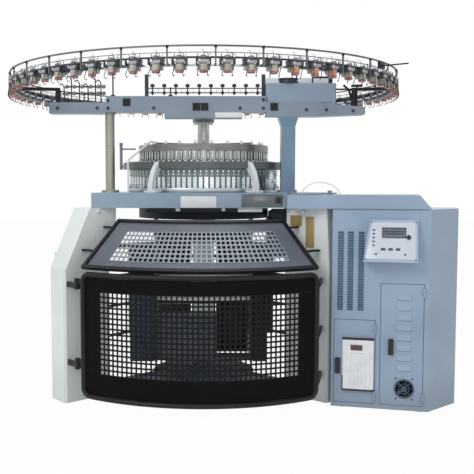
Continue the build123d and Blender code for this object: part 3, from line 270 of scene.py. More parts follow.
def block(bm, centre, size, bevel=0.0, turn=None):
    place = Matrix.Translation(centre) @ (turn or Matrix()) @ Matrix.Diagonal((*size, 1))
    made = bmesh.ops.create_cube(bm, size=1.0, matrix=place)["verts"]
    if bevel:
        edges = list(dict.fromkeys(edge for vert in made for edge in vert.link_edges))
        bmesh.ops.bevel(bm, geom=edges, offset=bevel, segments=2, affect="EDGES", profile=0.5)


def lathe(bm, profile, place, sides=16, hollow=False):
    # a turned form from (radius, height) points about its own z axis; a hollow one closes on itself
    rings = []
    for radius, height in profile:
        if radius < 1e-6:
            rings.append([bm.verts.new(place @ Vector((0, 0, height)))])
            continue
        spots = [2 * pi * k / sides for k in range(sides)]
        rings.append([bm.verts.new(place @ Vector((radius * cos(a), radius * sin(a), height))) for a in spots])
    following = rings[1:] + rings[:1] if hollow else rings[1:]
    for low, high in zip(rings, following):
        for k in range(sides):
            corners = [low[k % len(low)], low[(k + 1) % len(low)], high[(k + 1) % len(high)], high[k % len(high)]]
            unique = list(dict.fromkeys(corners))
            if len(unique) > 2:
                bm.faces.new(unique)
    for ends in () if hollow else (rings[0], rings[-1]):
        if len(ends) > 2:
            bm.faces.new(ends)


def stud(bm, place, radius, rim, height, top=None, sides=10):
    # a low round head: its wall ends at the rim, with the radius top, and closes at the full height
    lathe(bm, [(0.0, 0.0), (radius, 0.0), (top or radius, rim), (0.0, height)], place, sides)


def band(bm, inner, outer, low, high, sides=96):
    # a flat-walled ring about the machine's axis
    lathe(bm, [(inner, low), (outer, low), (outer, high), (inner, high)], Matrix(), sides, True)


def wire(bm, points, radius, sides=6):
    # a round bar through the points, mitred at each bend
    points = [Vector(p) for p in points]
    rings = []
    side = None
    for k, point in enumerate(points):
        before = points[max(k - 1, 0)]
        after = points[min(k + 1, len(points) - 1)]
        along = (after - before).normalized()
        if side is None:
            side = along.orthogonal().normalized()
        side = (side - along * side.dot(along)).normalized()
        across = along.cross(side)
        turns = [2 * pi * j / sides for j in range(sides)]
        rings.append([bm.verts.new(point + radius * (side * cos(a) + across * sin(a))) for a in turns])
    for low, high in zip(rings, rings[1:]):
        for j in range(sides):
            bm.faces.new((low[j], low[(j + 1) % sides], high[(j + 1) % sides], high[j]))
    bm.faces.new(rings[0])
    bm.faces.new(rings[-1])


def rawObject(name, bm):
    bmesh.ops.recalc_face_normals(bm, faces=bm.faces)
    mesh = bpy.data.meshes.new(name)
    bm.to_mesh(mesh)
    bm.free()
    made = bpy.data.objects.new(name, mesh)
    scene.collection.objects.link(made)
    return made


def settle(made, material, body, place=None, sharp=38):
    mesh = made.data
    if place is not None:
        mesh.transform(place)
    mesh.materials.clear()
    mesh.materials.append(finish[material])
    mesh.shade_smooth()
    mesh.set_sharp_from_angle(angle=radians(sharp))
    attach(made, body)
    return made


def makePiece(name, bm, material, body, place=None):
    return settle(rawObject(name, bm), material, body, place)


def blockPieces(table, body, place=None):
    # plain fittings: each has its finish, its slot and a (centre, size, bevel) row for each block
    for name, (material, slotName, rows) in table.items():
        bm = bmesh.new()
        for centre, size, bevel in rows:
            block(bm, centre, size, bevel)
        makePiece(name, bm, material, body, place)


# node trees for what repeats
def newTree(name, inputs):
    tree = bpy.data.node_groups.new(name, "GeometryNodeTree")
    tree.interface.new_socket("Geometry", in_out="INPUT", socket_type="NodeSocketGeometry")
    for label, kind, value in inputs:
        socket = tree.interface.new_socket(label, in_out="INPUT", socket_type="NodeSocket" + kind)
        if value is not None:
            socket.default_value = value
    tree.interface.new_socket("Geometry", in_out="OUTPUT", socket_type="NodeSocketGeometry")
    return tree, addNode(tree, "NodeGroupInput").outputs


def closeTree(tree, geometry, material):
    painted = addNode(tree, "GeometryNodeSetMaterial", None, {"Geometry": geometry, "Material": material})
    addNode(tree, "NodeGroupOutput", None, {"Geometry": painted.outputs[0]})


def roundTree():
    # copies of the piece turned about the machine's axis
    tree, given = newTree("copiesRoundAxis", (("Count", "Int", 8), ("First Angle", "Float", 0.0),
                                              ("Step", "Float", 0.1), ("Finish", "Material", None)))
    spots = addNode(tree, "GeometryNodeMeshLine", {"Offset": (0, 0, 0)}, {"Count": given["Count"]})
    index = addNode(tree, "GeometryNodeInputIndex")
    angle = addNode(tree, "ShaderNodeMath", {"operation": "MULTIPLY_ADD"},
                    {0: index.outputs[0], 1: given["Step"], 2: given["First Angle"]})
    turn = addNode(tree, "ShaderNodeCombineXYZ", None, {"Z": angle.outputs[0]})
    copies = addNode(tree, "GeometryNodeInstanceOnPoints", None,
                     {"Points": spots.outputs[0], "Instance": given["Geometry"], "Rotation": turn.outputs[0]})
    real = addNode(tree, "GeometryNodeRealizeInstances", None, {"Geometry": copies.outputs[0]})
    closeTree(tree, real.outputs[0], given["Finish"])
    return tree


def rowTree():
    # copies of the piece in a straight row
    tree, given = newTree("copiesInRow", (("Count", "Int", 8), ("Offset", "Vector", (0.1, 0, 0)),
                                          ("Finish", "Material", None)))
    spots = addNode(tree, "GeometryNodeMeshLine", None, {"Count": given["Count"], "Offset": given["Offset"]})
    copies = addNode(tree, "GeometryNodeInstanceOnPoints", None,
                     {"Points": spots.outputs[0], "Instance": given["Geometry"]})
    real = addNode(tree, "GeometryNodeRealizeInstances", None, {"Geometry": copies.outputs[0]})
    closeTree(tree, real.outputs[0], given["Finish"])
    return tree


def perforatedTree():
    # a sheet of square holes, rolled about the machine's axis and coned from one radius to another
    labels = ("Spread", "Radius Low", "Radius High", "Height Low", "Height High", "Hole Share", "Thickness")
    tree, given = newTree("perforatedSheet", [("Columns", "Int", 4), ("Rows", "Int", 4)]
                          + [(label, "Float", 0.5) for label in labels] + [("Finish", "Material", None)])
    grid = addNode(tree, "GeometryNodeMeshGrid", {"Size X": 1.0, "Size Y": 1.0},
                   {"Vertices X": given["Columns"], "Vertices Y": given["Rows"]})
    cells = addNode(tree, "GeometryNodeExtrudeMesh", {"mode": "FACES", "Offset Scale": 0.0, "Individual": True},
                    {"Mesh": grid.outputs[0]})
    shrunk = addNode(tree, "GeometryNodeScaleElements", {"domain": "FACE"},
                     {"Geometry": cells.outputs["Mesh"], "Selection": cells.outputs["Top"],
                      "Scale": given["Hole Share"]})
    bars = addNode(tree, "GeometryNodeDeleteGeometry", {"domain": "FACE"},
                   {"Geometry": shrunk.outputs[0], "Selection": cells.outputs["Top"]})
    flat = addNode(tree, "ShaderNodeSeparateXYZ", None,
                   {"Vector": addNode(tree, "GeometryNodeInputPosition").outputs[0]})
    angle = addNode(tree, "ShaderNodeMath", {"operation": "MULTIPLY_ADD", 2: -pi / 2},
                    {0: flat.outputs["X"], 1: given["Spread"]})
    radius = addNode(tree, "ShaderNodeMapRange", {"From Min": -0.5, "From Max": 0.5},
                     {"Value": flat.outputs["Y"], "To Min": given["Radius Low"], "To Max": given["Radius High"]})
    height = addNode(tree, "ShaderNodeMapRange", {"From Min": -0.5, "From Max": 0.5},
                     {"Value": flat.outputs["Y"], "To Min": given["Height Low"], "To Max": given["Height High"]})
    cosine = addNode(tree, "ShaderNodeMath", {"operation": "COSINE"}, {0: angle.outputs[0]})
    sine = addNode(tree, "ShaderNodeMath", {"operation": "SINE"}, {0: angle.outputs[0]})
    across = addNode(tree, "ShaderNodeMath", {"operation": "MULTIPLY"},
                     {0: cosine.outputs[0], 1: radius.outputs[0]})
    deep = addNode(tree, "ShaderNodeMath", {"operation": "MULTIPLY"},
                   {0: sine.outputs[0], 1: radius.outputs[0]})
    rolled = addNode(tree, "ShaderNodeCombineXYZ", None,
                     {"X": across.outputs[0], "Y": deep.outputs[0], "Z": height.outputs[0]})
    bent = addNode(tree, "GeometryNodeSetPosition", None,
                   {"Geometry": bars.outputs[0], "Position": rolled.outputs[0]})
    joined = addNode(tree, "GeometryNodeMergeByDistance", {"Distance": 1e-5}, {"Geometry": bent.outputs[0]})
    front = addNode(tree, "GeometryNodeExtrudeMesh", {"mode": "FACES", "Individual": False},
                    {"Mesh": joined.outputs[0], "Offset Scale": given["Thickness"]})
    back = addNode(tree, "GeometryNodeFlipFaces", None, {"Mesh": joined.outputs[0]})
    both = addNode(tree, "GeometryNodeJoinGeometry")
    tree.links.new(front.outputs["Mesh"], both.inputs[0])
    tree.links.new(back.outputs[0], both.inputs[0])
    closed = addNode(tree, "GeometryNodeMergeByDistance", {"Distance": 1e-5}, {"Geometry": both.outputs[0]})
    closeTree(tree, closed.outputs[0], given["Finish"])
    return tree


trees = {"round": roundTree(), "row": rowTree(), "perforated": perforatedTree()}


def applyTree(made, treeName, values):
    modifier = made.modifiers.new("repeat", "NODES")
    modifier.node_group = trees[treeName]
    for item in trees[treeName].interface.items_tree:
        if item.in_out == "INPUT" and item.name in values:
            modifier[item.identifier] = values[item.name]
    graph = bpy.context.evaluated_depsgraph_get()
    mesh = bpy.data.meshes.new_from_object(made.evaluated_get(graph), depsgraph=graph)
    made.modifiers.clear()
    old = made.data
    made.data = mesh
    bpy.data.meshes.remove(old)
    return made


def roundPiece(name, bm, count, first, step, material):
    made = applyTree(rawObject(name, bm), "round", {"Count": count, "First Angle": radians(first),
                                                    "Step": radians(step), "Finish": finish[material]})
    return settle(made, material, "frame")


def fullCircle(name, bm, count, first, material):
    return roundPiece(name, bm, count, first, 360 / count, material)


def rowPiece(name, bm, count, offset, material, place=None):
    made = applyTree(rawObject(name, bm), "row", {"Count": count, "Offset": offset, "Finish": finish[material]})
    return settle(made, material, "frame", place)


def rolledPatch(bm, angles, shares, radii, heights, thickness, steps=24):
    # a plain curved strip between two angles (degrees from the front) and two shares of the height
    rows = []
    for share in shares:
        radius = radii[0] + (radii[1] - radii[0]) * share
        height = heights[0] + (heights[1] - heights[0]) * share
        turns = [radians(angles[0] + (angles[1] - angles[0]) * k / steps) for k in range(steps + 1)]
        rows.append([bm.verts.new((radius * sin(a), -radius * cos(a), height)) for a in turns])
    faces = [bm.faces.new((rows[0][k], rows[0][k + 1], rows[1][k + 1], rows[1][k])) for k in range(steps)]
    bmesh.ops.solidify(bm, geom=faces, thickness=thickness)


# safety guards, turned with the machine's front; radii and heights go from a sheet's lower edge to its upper
frontTurn = -1.4
doorSheet = {"name": "guardDoor", "finish": "blackSheet", "body": "guard_door", "radii": (1.1, 1.1),
             "heights": (0.1083, 0.7467), "holeHeights": (0.224, 0.672), "edge": 34.2, "spread": 28.8,
             "columns": 40, "rows": 16, "holeShare": 0.66, "inset": 0.0015, "thickness": 0.003}
slopeSheet = {"name": "slopeGuard", "finish": "panelGrey", "body": "frame", "radii": (1.0845, 0.8155),
              "heights": (0.8048, 1.0272), "holeHeights": (0.833712, 0.98272), "edge": 34.2, "spread": 27.5,
              "columns": 35, "rows": 7, "holeShare": 0.68, "inset": 0.0, "thickness": 0.003}


def guardSheet(sheet):
    low, high = sheet["heights"]
    edge, spread = sheet["edge"], sheet["spread"]
    first, last = [(height - low) / (high - low) for height in sheet["holeHeights"]]
    radii = [sheet["radii"][0] + (sheet["radii"][1] - sheet["radii"][0]) * share - sheet["inset"]
             for share in (first, last)]
    made = applyTree(rawObject(sheet["name"] + "Mesh", bmesh.new()), "perforated", {
        "Columns": sheet["columns"] + 1, "Rows": sheet["rows"] + 1, "Spread": radians(2 * spread),
        "Radius Low": radii[0], "Radius High": radii[1],
        "Height Low": sheet["holeHeights"][0], "Height High": sheet["holeHeights"][1],
        "Hole Share": sheet["holeShare"], "Thickness": sheet["thickness"], "Finish": finish[sheet["finish"]]})
    settle(made, sheet["finish"], sheet["body"], aboutAxis(frontTurn))
    bm = bmesh.new()  # plain border round the holes
    for angles, shares in (((-edge, edge), (0, first)), ((-edge, edge), (last, 1)),
                           ((-edge, -spread), (first, last)), ((spread, edge), (first, last))):
        rolledPatch(bm, angles, shares, sheet["radii"], sheet["heights"], sheet["thickness"])
    return makePiece(sheet["name"] + "Sheet", bm, sheet["finish"], sheet["body"],
                     aboutAxis(frontTurn))


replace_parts(guardSheet(doorSheet), "guard_door_panel")
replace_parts(guardSheet(slopeSheet), "upper_guard_panel")
print("guards done")

# yarn feeders round the ring; each is drawn where the x axis meets the ring
feeder = {"count": 64, "inner": 1.164, "outer": 1.221, "width": 0.076, "low": 1.836, "high": 1.860,
          "wheel": 1.200, "wheelLow": 1.790, "pins": 10, "pinCircle": 0.0185, "orangeWheels": 3, "orangeFirst": -67.5,
          "hookSpread": 0.0245, "pulley": 1.2065, "posts": 32, "post": 1.213, "postTop": 1.9145}


def feederPieces():
    f = feeder
    count, high, low = f["count"], f["high"], f["wheelLow"]
    middle = (f["inner"] + f["outer"]) / 2
    depth = f["outer"] - f["inner"]
    wheelPlace = at(f["wheel"], 0, low)
    bm = bmesh.new()  # dark housing, open below like a bridge, with a bracket over the rail
    block(bm, (middle, 0, high - 0.005), (depth, f["width"], 0.010), 0.002)
    for side in (-1, 1):
        block(bm, (middle + 0.003, side * (f["width"] / 2 - 0.004), (f["low"] + high) / 2 - 0.004),
              (depth - 0.006, 0.008, high - f["low"] + 0.008), 0.0015)
    block(bm, (1.168, 0, 1.838), (0.022, 0.040, 0.036), 0.002)
    housing = fullCircle("feederHousings", bm, count, 0, "feederDark")
    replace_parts(housing, "yarn_feeders")
    bm = bmesh.new()  # paler front with a rounded window
    block(bm, (f["outer"] - 0.006, 0, f["low"] + 0.008), (0.010, f["width"] - 0.022, 0.018), 0.003)
    block(bm, (f["outer"] - 0.030, 0, f["low"] + 0.006), (0.034, 0.034, 0.014), 0.003)
    block(bm, (1.183, 0, 1.817), (0.010, 0.068, 0.028), 0.003)
    fullCircle("feederFronts", bm, count, 0, "feederPale")
    bm = bmesh.new()  # storage wheel: hub and pins that the yarn is wound on
    lathe(bm, [(0.0, 0.044), (0.008, 0.044), (0.008, 0.006), (0.0, 0.006)], wheelPlace, 10)
    for k in range(f["pins"]):
        angle = 2 * pi * k / f["pins"]
        x, y = f["wheel"] + f["pinCircle"] * cos(angle), f["pinCircle"] * sin(angle)
        wire(bm, [(x, y, low + 0.004), (x, y, low + 0.045)], 0.0016, 4)
    fullCircle("storageWheelPins", bm, count, 0, "turned")
    step, orange = 360 / count, f["orangeWheels"]
    for name, wheels, first, material in (
            ("woundYarns", count - orange, f["orangeFirst"] + orange * step, "yarnOlive"),
            ("woundOrangeYarns", orange, f["orangeFirst"], "yarnOrange")):
        bm = bmesh.new()
        lathe(bm, [(0.0, 0.012), (0.0190, 0.012), (0.0200, 0.018), (0.0200, 0.034), (0.0190, 0.039), (0.0, 0.039)],
              wheelPlace, 14)
        roundPiece(name, bm, wheels, first, step, material)
    bm = bmesh.new()  # rose clutch disc under each wheel
    lathe(bm, [(0.0, -0.001), (0.017, -0.001), (0.0215, 0.002), (0.0215, 0.008), (0.015, 0.011), (0.0, 0.011)],
          wheelPlace, 16)
    fullCircle("clutchDiscs", bm, count, 0, "rose")
    bm = bmesh.new()  # tape pulley on top, its rim against the tape
    lathe(bm, [(0.0, 0.0), (0.014, 0.0), (0.016, 0.0015), (0.0135, 0.003), (0.0135, 0.009), (0.016, 0.0105),
               (0.014, 0.012), (0.005, 0.012), (0.004, 0.016), (0.0, 0.016)], at(f["pulley"], 0, high), 16)
    fullCircle("tapePulleys", bm, count, 0, "greyPlastic")
    bm = bmesh.new()  # stop hooks and the yarn's way in
    for y in (-f["hookSpread"], f["hookSpread"]):
        wire(bm, [(1.218, y, 1.840), (1.221, y + 0.004, 1.815), (1.226, y - 0.006, 1.784),
                  (1.216, y - 0.004, 1.770), (1.210, y + 0.002, 1.778)], 0.0021, 5)
    wire(bm, [(1.218, 0.022, 1.858), (1.218, 0.022, 1.878), (1.224, 0.012, 1.884), (1.222, 0.004, 1.879)],
         0.0018, 5)
    wire(bm, [(1.183, -0.028, 1.858), (1.183, -0.028, 1.885)], 0.0022, 5)
    fullCircle("stopHooks", bm, count, 0, "darkSteel")
    bm = bmesh.new()  # pair of tension discs beside the pulley
    for x in (1.214, 1.218):
        stud(bm, at(x, 0.032, 1.872, toRight), 0.007, 0.0015, 0.003, 0.008, 12)
    wire(bm, [(1.211, 0.032, 1.858), (1.211, 0.032, 1.876)], 0.0025, 5)
    block(bm, (1.2230, -0.018, 1.846), (0.004, 0.010, 0.012), 0.001)
    fullCircle("tensionDiscs", bm, count, 0, "ground")
    bm = bmesh.new()  # thin yarn ring over the feeders and its posts
    band(bm, 1.1880, 1.1925, 1.8870, 1.8915, 128)
    makePiece("yarnRing", bm, "eyeGrey", "frame")
    bm = bmesh.new()
    wire(bm, [(1.190, 0.030, 1.858), (1.190, 0.030, 1.888)], 0.0024, 6)
    wire(bm, [(1.190, 0.004, 1.858), (1.192, 0.000, 1.900), (1.186, -0.010, 1.904)], 0.0018, 5)
    fullCircle("yarnRingPosts", bm, count, 0, "eyeGrey")
    bm = bmesh.new()  # caps on the hoop's posts
    lathe(bm, [(0.0, -0.006), (0.007, -0.006), (0.008, 0.000), (0.008, 0.006), (0.005, 0.0075), (0.0, 0.0075)],
          at(f["post"], 0, f["postTop"]), 10)
    fullCircle("hoopPostCaps", bm, f["posts"], step / 2, "black")


feederPieces()
print("feeder ring done")

# knitting head: fixed parts, their screws and what stands beside them on the bed
head = {"carriers": 90, "camBars": 90, "guides": 96, "guideCircle": 0.4155, "dialScrews": 24, "screwCircle": 0.380,
        "plateTop": 1.4858, "ringScrews": 30, "ringScrewCircle": 0.4845, "ringTop": 1.2209}
bracketFeet = {"angles": (58, 122, 238, 302), "circle": 0.566, "height": 1.1995, "size": (0.062, 0.088, 0.0125)}
headPost = {"x": -0.536, "middle": 1.418, "size": (0.018, 0.018, 0.164), "rods": ((1.470, -0.440), (1.356, -0.516))}
regulator = {"angle": -42, "circle": 0.545, "bedTop": 1.193}


def headPieces():
    bm = bmesh.new()  # yarn carriers reach from the black ring to the needles
    block(bm, (0.4925, 0, 1.3795), (0.030, 0.011, 0.008), 0.001)
    wire(bm, [(0.484, 0, 1.380), (0.462, 0, 1.374), (0.449, 0, 1.362), (0.4475, 0, 1.350)], 0.0028, 5)
    fullCircle("yarnCarriers", bm, head["carriers"], 2, "ground")
    bm = bmesh.new()  # bright levers on the green cam band
    block(bm, (0.4775, 0, 1.320), (0.006, 0.010, 0.016), 0.001)
    stud(bm, at(0.475, 0, 1.300, toRight), 0.005, 0.004, 0.006, sides=8)
    stud(bm, at(0.478, 0, 1.238, toRight), 0.004, 0.003, 0.005, sides=8)
    fullCircle("camLevers", bm, head["camBars"], 0, "camSteel")
    bm = bmesh.new()  # upright needle guides round the dial
    block(bm, (head["guideCircle"], 0, 1.412), (0.005, 0.007, 0.060), 0.0008)
    fullCircle("dialNeedleGuides", bm, head["guides"], 0, "ground")
    bm = bmesh.new()  # adjusting screws on the dial plate
    lathe(bm, [(0.0, 0), (0.010, 0), (0.010, 0.008), (0.006, 0.010), (0.006, 0.022), (0.0, 0.024)],
          at(head["screwCircle"], 0, head["plateTop"]), 10)
    fullCircle("dialScrews", bm, head["dialScrews"], 7.5, "ground")
    bm = bmesh.new()  # socket screws on the cam base ring
    lathe(bm, [(0.0, 0), (0.0065, 0), (0.0065, 0.005), (0.0055, 0.0065), (0.0035, 0.0065), (0.0035, 0.003),
               (0, 0.003)], at(head["ringScrewCircle"], 0, head["ringTop"]), 12)
    fullCircle("baseRingScrews", bm, head["ringScrews"], 6, "darkSteel")
    bm = bmesh.new()  # painted shade: grey rings just behind the upright blocks, in the half-shaded tone their gaps show
    band(bm, 0.452, 0.468, 1.2215, 1.2855)
    band(bm, 0.390, 0.400, 1.3870, 1.4440)
    makePiece("camGapShadeRings", bm, "camGapShade", "frame")
    bm = bmesh.new()  # wide feet of the bowed brackets
    for angle in bracketFeet["angles"]:
        turn = aboutAxis(angle)
        centre = turn @ Vector((bracketFeet["circle"], 0, bracketFeet["height"]))
        block(bm, centre, bracketFeet["size"], 0.003, turn)
    makePiece("bracketFeet", bm, "whiteEnamel", "frame")
    bm = bmesh.new()  # ground edge of the cam base ring
    lathe(bm, [(0.4895, 1.1935), (0.4910, 1.1935), (0.4915, 1.1945), (0.4915, 1.2195), (0.4910, 1.2205),
               (0.4895, 1.2205)], Matrix(), 96, True)
    makePiece("baseRingEdge", bm, "ringEdge", "frame")
    bm = bmesh.new()  # small post at the left with two rods into the head
    x = headPost["x"]
    block(bm, (x, 0, headPost["middle"]), headPost["size"], 0.003)
    for height, end in headPost["rods"]:
        wire(bm, [(x, 0, height), (end, 0, height)], 0.005, 8)
    stud(bm, at(x, 0, 1.498), 0.012, 0.010, 0.014, sides=12)
    makePiece("headPost", bm, "greyPlastic", "frame")
    bm = bmesh.new()  # bright regulator block at the right, bolted on the bed
    turn = aboutAxis(regulator["angle"])
    place = turn @ at(regulator["circle"], 0, regulator["bedTop"])
    for centre, size, bevel in (((0, 0, 0.006), (0.070, 0.075, 0.012), 0.002),
                                ((0, 0, 0.062), (0.040, 0.052, 0.100), 0.004),
                                ((-0.004, 0.006, 0.119), (0.034, 0.040, 0.016), 0.003)):
        block(bm, place @ Vector(centre), size, bevel, turn)
    stud(bm, place @ at(0.020, 0, 0.070, toRight), 0.012, 0.012, 0.014, sides=12)
    makePiece("stitchRegulator", bm, "ground", "frame")


headPieces()
print("knitting head done")

# top beam with its fence of yarn guides; rods have their x and their two heights
fence = {"first": -0.347, "last": 0.366, "count": 10, "y": -0.274, "headHeight": 1.835, "beadHeight": 1.800}
beamRods = {"y": -0.30, "rods": ((-0.550, 1.770, 1.912), (-0.200, 1.770, 1.830), (0.565, 1.848, 1.912)),
            "clampX": 0.771, "clampRod": 1.890, "clampRodEnd": 0.662}
armLinks = {"y": -0.31, "from": 0.800, "to": 0.897, "heights": (1.8165, 1.7525)}
armGuides = {"x": (-0.845, -0.800, -0.752, -0.700, -0.655, -0.622), "y": -0.31, "foot": 1.735, "top": 1.850,
             "bars": ((1.792, 0.240, 0.012), (1.832, 0.190, 0.010)), "barMiddle": -0.735}
beamBolts = {"face": -0.3495, "spots": (
    (-0.575, 1.745), (-0.575, 1.700), (0.36, 1.75), (0.36, 1.70), (-0.30, 1.70), (0.22, 1.70), (-0.88, 1.700),
    (-0.64, 1.700), (0.62, 1.690), (0.74, 1.690), (0.90, 1.684))}
beamPlates = {
    # pale guard of the tape drive on the drive housing, and a pale strip on the hub's face
    "tapeGuard": ("guardPale", "yoke_enamel", [((0.592, -0.1700, 1.8775), (0.416, 0.006, 0.055), 0.002),
                                               ((0.592, -0.1500, 1.8530), (0.416, 0.040, 0.006), 0.002)]),
    "hubPaleStrip": ("whiteEnamel", "yoke_enamel", [((0.152, -0.3512, 1.6585), (0.164, 0.0024, 0.031), 0.001)]),
}


def beamPieces():
    pitch = (fence["last"] - fence["first"]) / fence["count"]
    start = fence["first"] + pitch / 2
    bm = bmesh.new()  # round dark heads over the eyelets and beads on the lower bar
    lathe(bm, [(0.0, 0), (0.011, 0), (0.013, 0.004), (0.013, 0.012), (0.009, 0.018), (0.0, 0.020)],
          at(start, fence["y"], fence["headHeight"]), 12)
    lathe(bm, [(0.0, -0.010), (0.008, -0.008), (0.0105, 0), (0.008, 0.008), (0.0, 0.010)],
          at(start, fence["y"], fence["beadHeight"]), 10)
    rowPiece("fenceHeads", bm, fence["count"], (pitch, 0, 0), "darkSteel")
    bm = bmesh.new()  # small curled guides between them
    x, y = start + pitch / 2, fence["y"]
    wire(bm, [(x, y, 1.828), (x, y - 0.010, 1.822), (x, y - 0.016, 1.810), (x, y - 0.008, 1.802), (x, y, 1.808)],
         0.0018, 5)
    rowPiece("fenceGuides", bm, fence["count"] - 1, (pitch, 0, 0), "ground")
    bm = bmesh.new()  # upright rods on beam and housing, a clamp and its cross bar
    y = beamRods["y"]
    for x, low, high in beamRods["rods"]:
        wire(bm, [(x, y, low), (x, y, high)], 0.0045, 8)
        lathe(bm, [(0.0, 0), (0.015, 0), (0.015, 0.010), (0.009, 0.016), (0.0, 0.016)], at(x, y, low), 12)
    x, end, height = beamRods["clampX"], beamRods["clampRodEnd"], beamRods["clampRod"]
    block(bm, (x, y, 1.882), (0.022, 0.030, 0.070), 0.004)
    block(bm, (x, y, 1.905), (0.034, 0.036, 0.020), 0.003)
    wire(bm, [(x, y, height), (end, y, height)], 0.006, 8)
    wire(bm, [(end, y, height), (end, y, 1.848)], 0.005, 8)
    y = armLinks["y"]  # links between the housing and the arm's end
    for height in armLinks["heights"]:
        wire(bm, [(armLinks["from"], y, height), (armLinks["to"], y, height)], 0.0055, 8)
    wire(bm, [(0.848, y, 1.842), (0.880, y, 1.815), (0.900, y, 1.760), (0.904, y, 1.700)], 0.007, 8)
    block(bm, (0.930, y, 1.838), (0.068, 0.020, 0.014), 0.003)
    wire(bm, [(0.930, y, 1.838), (0.930, y, 1.700)], 0.005, 8)
    makePiece("beamRods", bm, "black", "frame")
    bm = bmesh.new()  # yarn guide cluster on the left arm, its tops at three heights
    y, bars = armGuides["y"], armGuides["bars"]
    for k, x in enumerate(armGuides["x"]):
        top = armGuides["top"] + 0.022 * ((k * 5) % 3)
        wire(bm, [(x, y, 1.733), (x, y, top - 0.02), (x - 0.012, y - 0.008, top),
                  (x - 0.026, y - 0.008, top - 0.010)], 0.0042, 6)
        stud(bm, at(x, y, armGuides["foot"]), 0.011, 0.008, 0.010)
    for height, length, depth in bars:
        block(bm, (armGuides["barMiddle"], y, height), (length, 0.008, depth), 0.002)
    makePiece("armYarnGuides", bm, "darkSteel", "frame")
    bm = bmesh.new()  # their ceramic eyes
    for x in armGuides["x"]:
        for height, _, _ in bars:
            lathe(bm, [(0.004, 0), (0.011, 0.001), (0.013, 0.005), (0.011, 0.009), (0.004, 0.010)],
                  at(x + 0.018, y - 0.004, height, toFront), 10)
    makePiece("armYarnEyes", bm, "eyeletBrown", "frame")
    bm = bmesh.new()  # bolts on the beam's face and the arms
    for x, height in beamBolts["spots"]:
        lathe(bm, [(0.0, 0), (0.010, 0), (0.010, 0.006), (0.0085, 0.0075), (0.0, 0.0075)],
              at(x, beamBolts["face"], height, toFront), 6)
    makePiece("beamBolts", bm, "darkSteel", "frame")
    blockPieces(beamPlates, "frame")


beamPieces()
print("beam done")

# bed: bare name plate with four rivets, darker cover at the right, pale tabs and a dark rail under its front edge
namePlate = {"x": -0.029, "y": -0.6212, "z": 1.1415, "size": (0.204, 0.0024, 0.066), "rivetInset": 0.008}
bedFittings = {
    "bedInspectionCover": ("smoked", "blue_enamel", [((0.335, -0.6215, 1.150), (0.235, 0.005, 0.074), 0.0015)]),
    "bedFrontFittings": ("blackPlastic", "handle_black", [((0.425, -0.6245, 1.152), (0.026, 0.012, 0.036), 0.003),
                                                          ((0.487, -0.6225, 1.150), (0.014, 0.006, 0.080), 0.001)]),
    "underBedTabs": ("whiteEnamel", "unit_white", [((0.268, -0.600, 1.0955), (0.140, 0.004, 0.024), 0.001),
                                                   ((-0.147, -0.600, 1.0980), (0.026, 0.004, 0.019), 0.001),
                                                   ((0.115, -0.600, 1.0980), (0.020, 0.004, 0.019), 0.001)]),
    "underBedRail": ("black", "black_enamel", [((-0.02, -0.585, 1.094), (0.62, 0.020, 0.027), 0.003)]),
}
# take-down: left side case with its cover, then right side case, rear sheet and spreader beam
takedownCases = {
    "takedownLeftCase": ("caseBlue", "cast_grey", [((-0.3985, 0, 0.3550), (0.161, 0.190, 0.530), 0.008),
                                                   ((-0.3985, -0.097, 0.3550), (0.120, 0.006, 0.470), 0.002)]),
    "takedownDarkCases": ("caseDark", "cast_grey", [((0.3660, 0, 0.3100), (0.096, 0.190, 0.440), 0.008),
                                                    ((0.1950, 0.0700, 0.3700), (0.206, 0.006, 0.500), 0.001),
                                                    ((0, 0.0600, 0.9300), (0.596, 0.040, 0.150), 0.006)]),
}


def bedPieces():
    x, y, z = [namePlate[axis] for axis in "xyz"]
    inset = namePlate["rivetInset"]
    halfWidth, halfHeight = namePlate["size"][0] / 2 - inset, namePlate["size"][2] / 2 - inset
    bm = bmesh.new()
    block(bm, (x, y, z), namePlate["size"], 0.001)
    makePiece("bareNamePlate", bm, "whiteEnamel", "frame")
    bm = bmesh.new()
    for sx in (-1, 1):
        for sz in (-1, 1):
            stud(bm, at(x + sx * halfWidth, y - 0.001, z + sz * halfHeight, toFront), 0.003, 0.0012, 0.0015, 0.002, 8)
    makePiece("plateRivets", bm, "ground", "frame")
    blockPieces(bedFittings, "frame")
    bm = bmesh.new()  # dark skirt round the ring gear's underside; its near-black is painted shade for the gap under the bed
    band(bm, 0.416, 0.420, 1.0300, 1.1065, 72)
    makePiece("underBedShadeSkirt", bm, "caseDark", "frame")
    blockPieces(takedownCases, "knitting_cylinder")


# legs: plates have their leg's angle, centre, size and finish, in the leg's own frame
legs = {"left": 222 + frontTurn, "right": 318 + frontTurn, "rear": 90, "headSetback": 0.160, "headRise": 0.337,
        "bolt": (0.86, 0.0795, 1.085)}
legPlates = {"leftTag": (legs["left"], (0.982, -0.024, 0.952), (0.130, 0.084, 0.003), "sand"),
             "amberTag": (legs["right"], (0.807, -0.081, 1.034), (0.080, 0.0025, 0.062), "amber"),
             "orangeTag": (legs["right"], (0.905, -0.081, 0.972), (0.058, 0.0025, 0.176), "orange")}


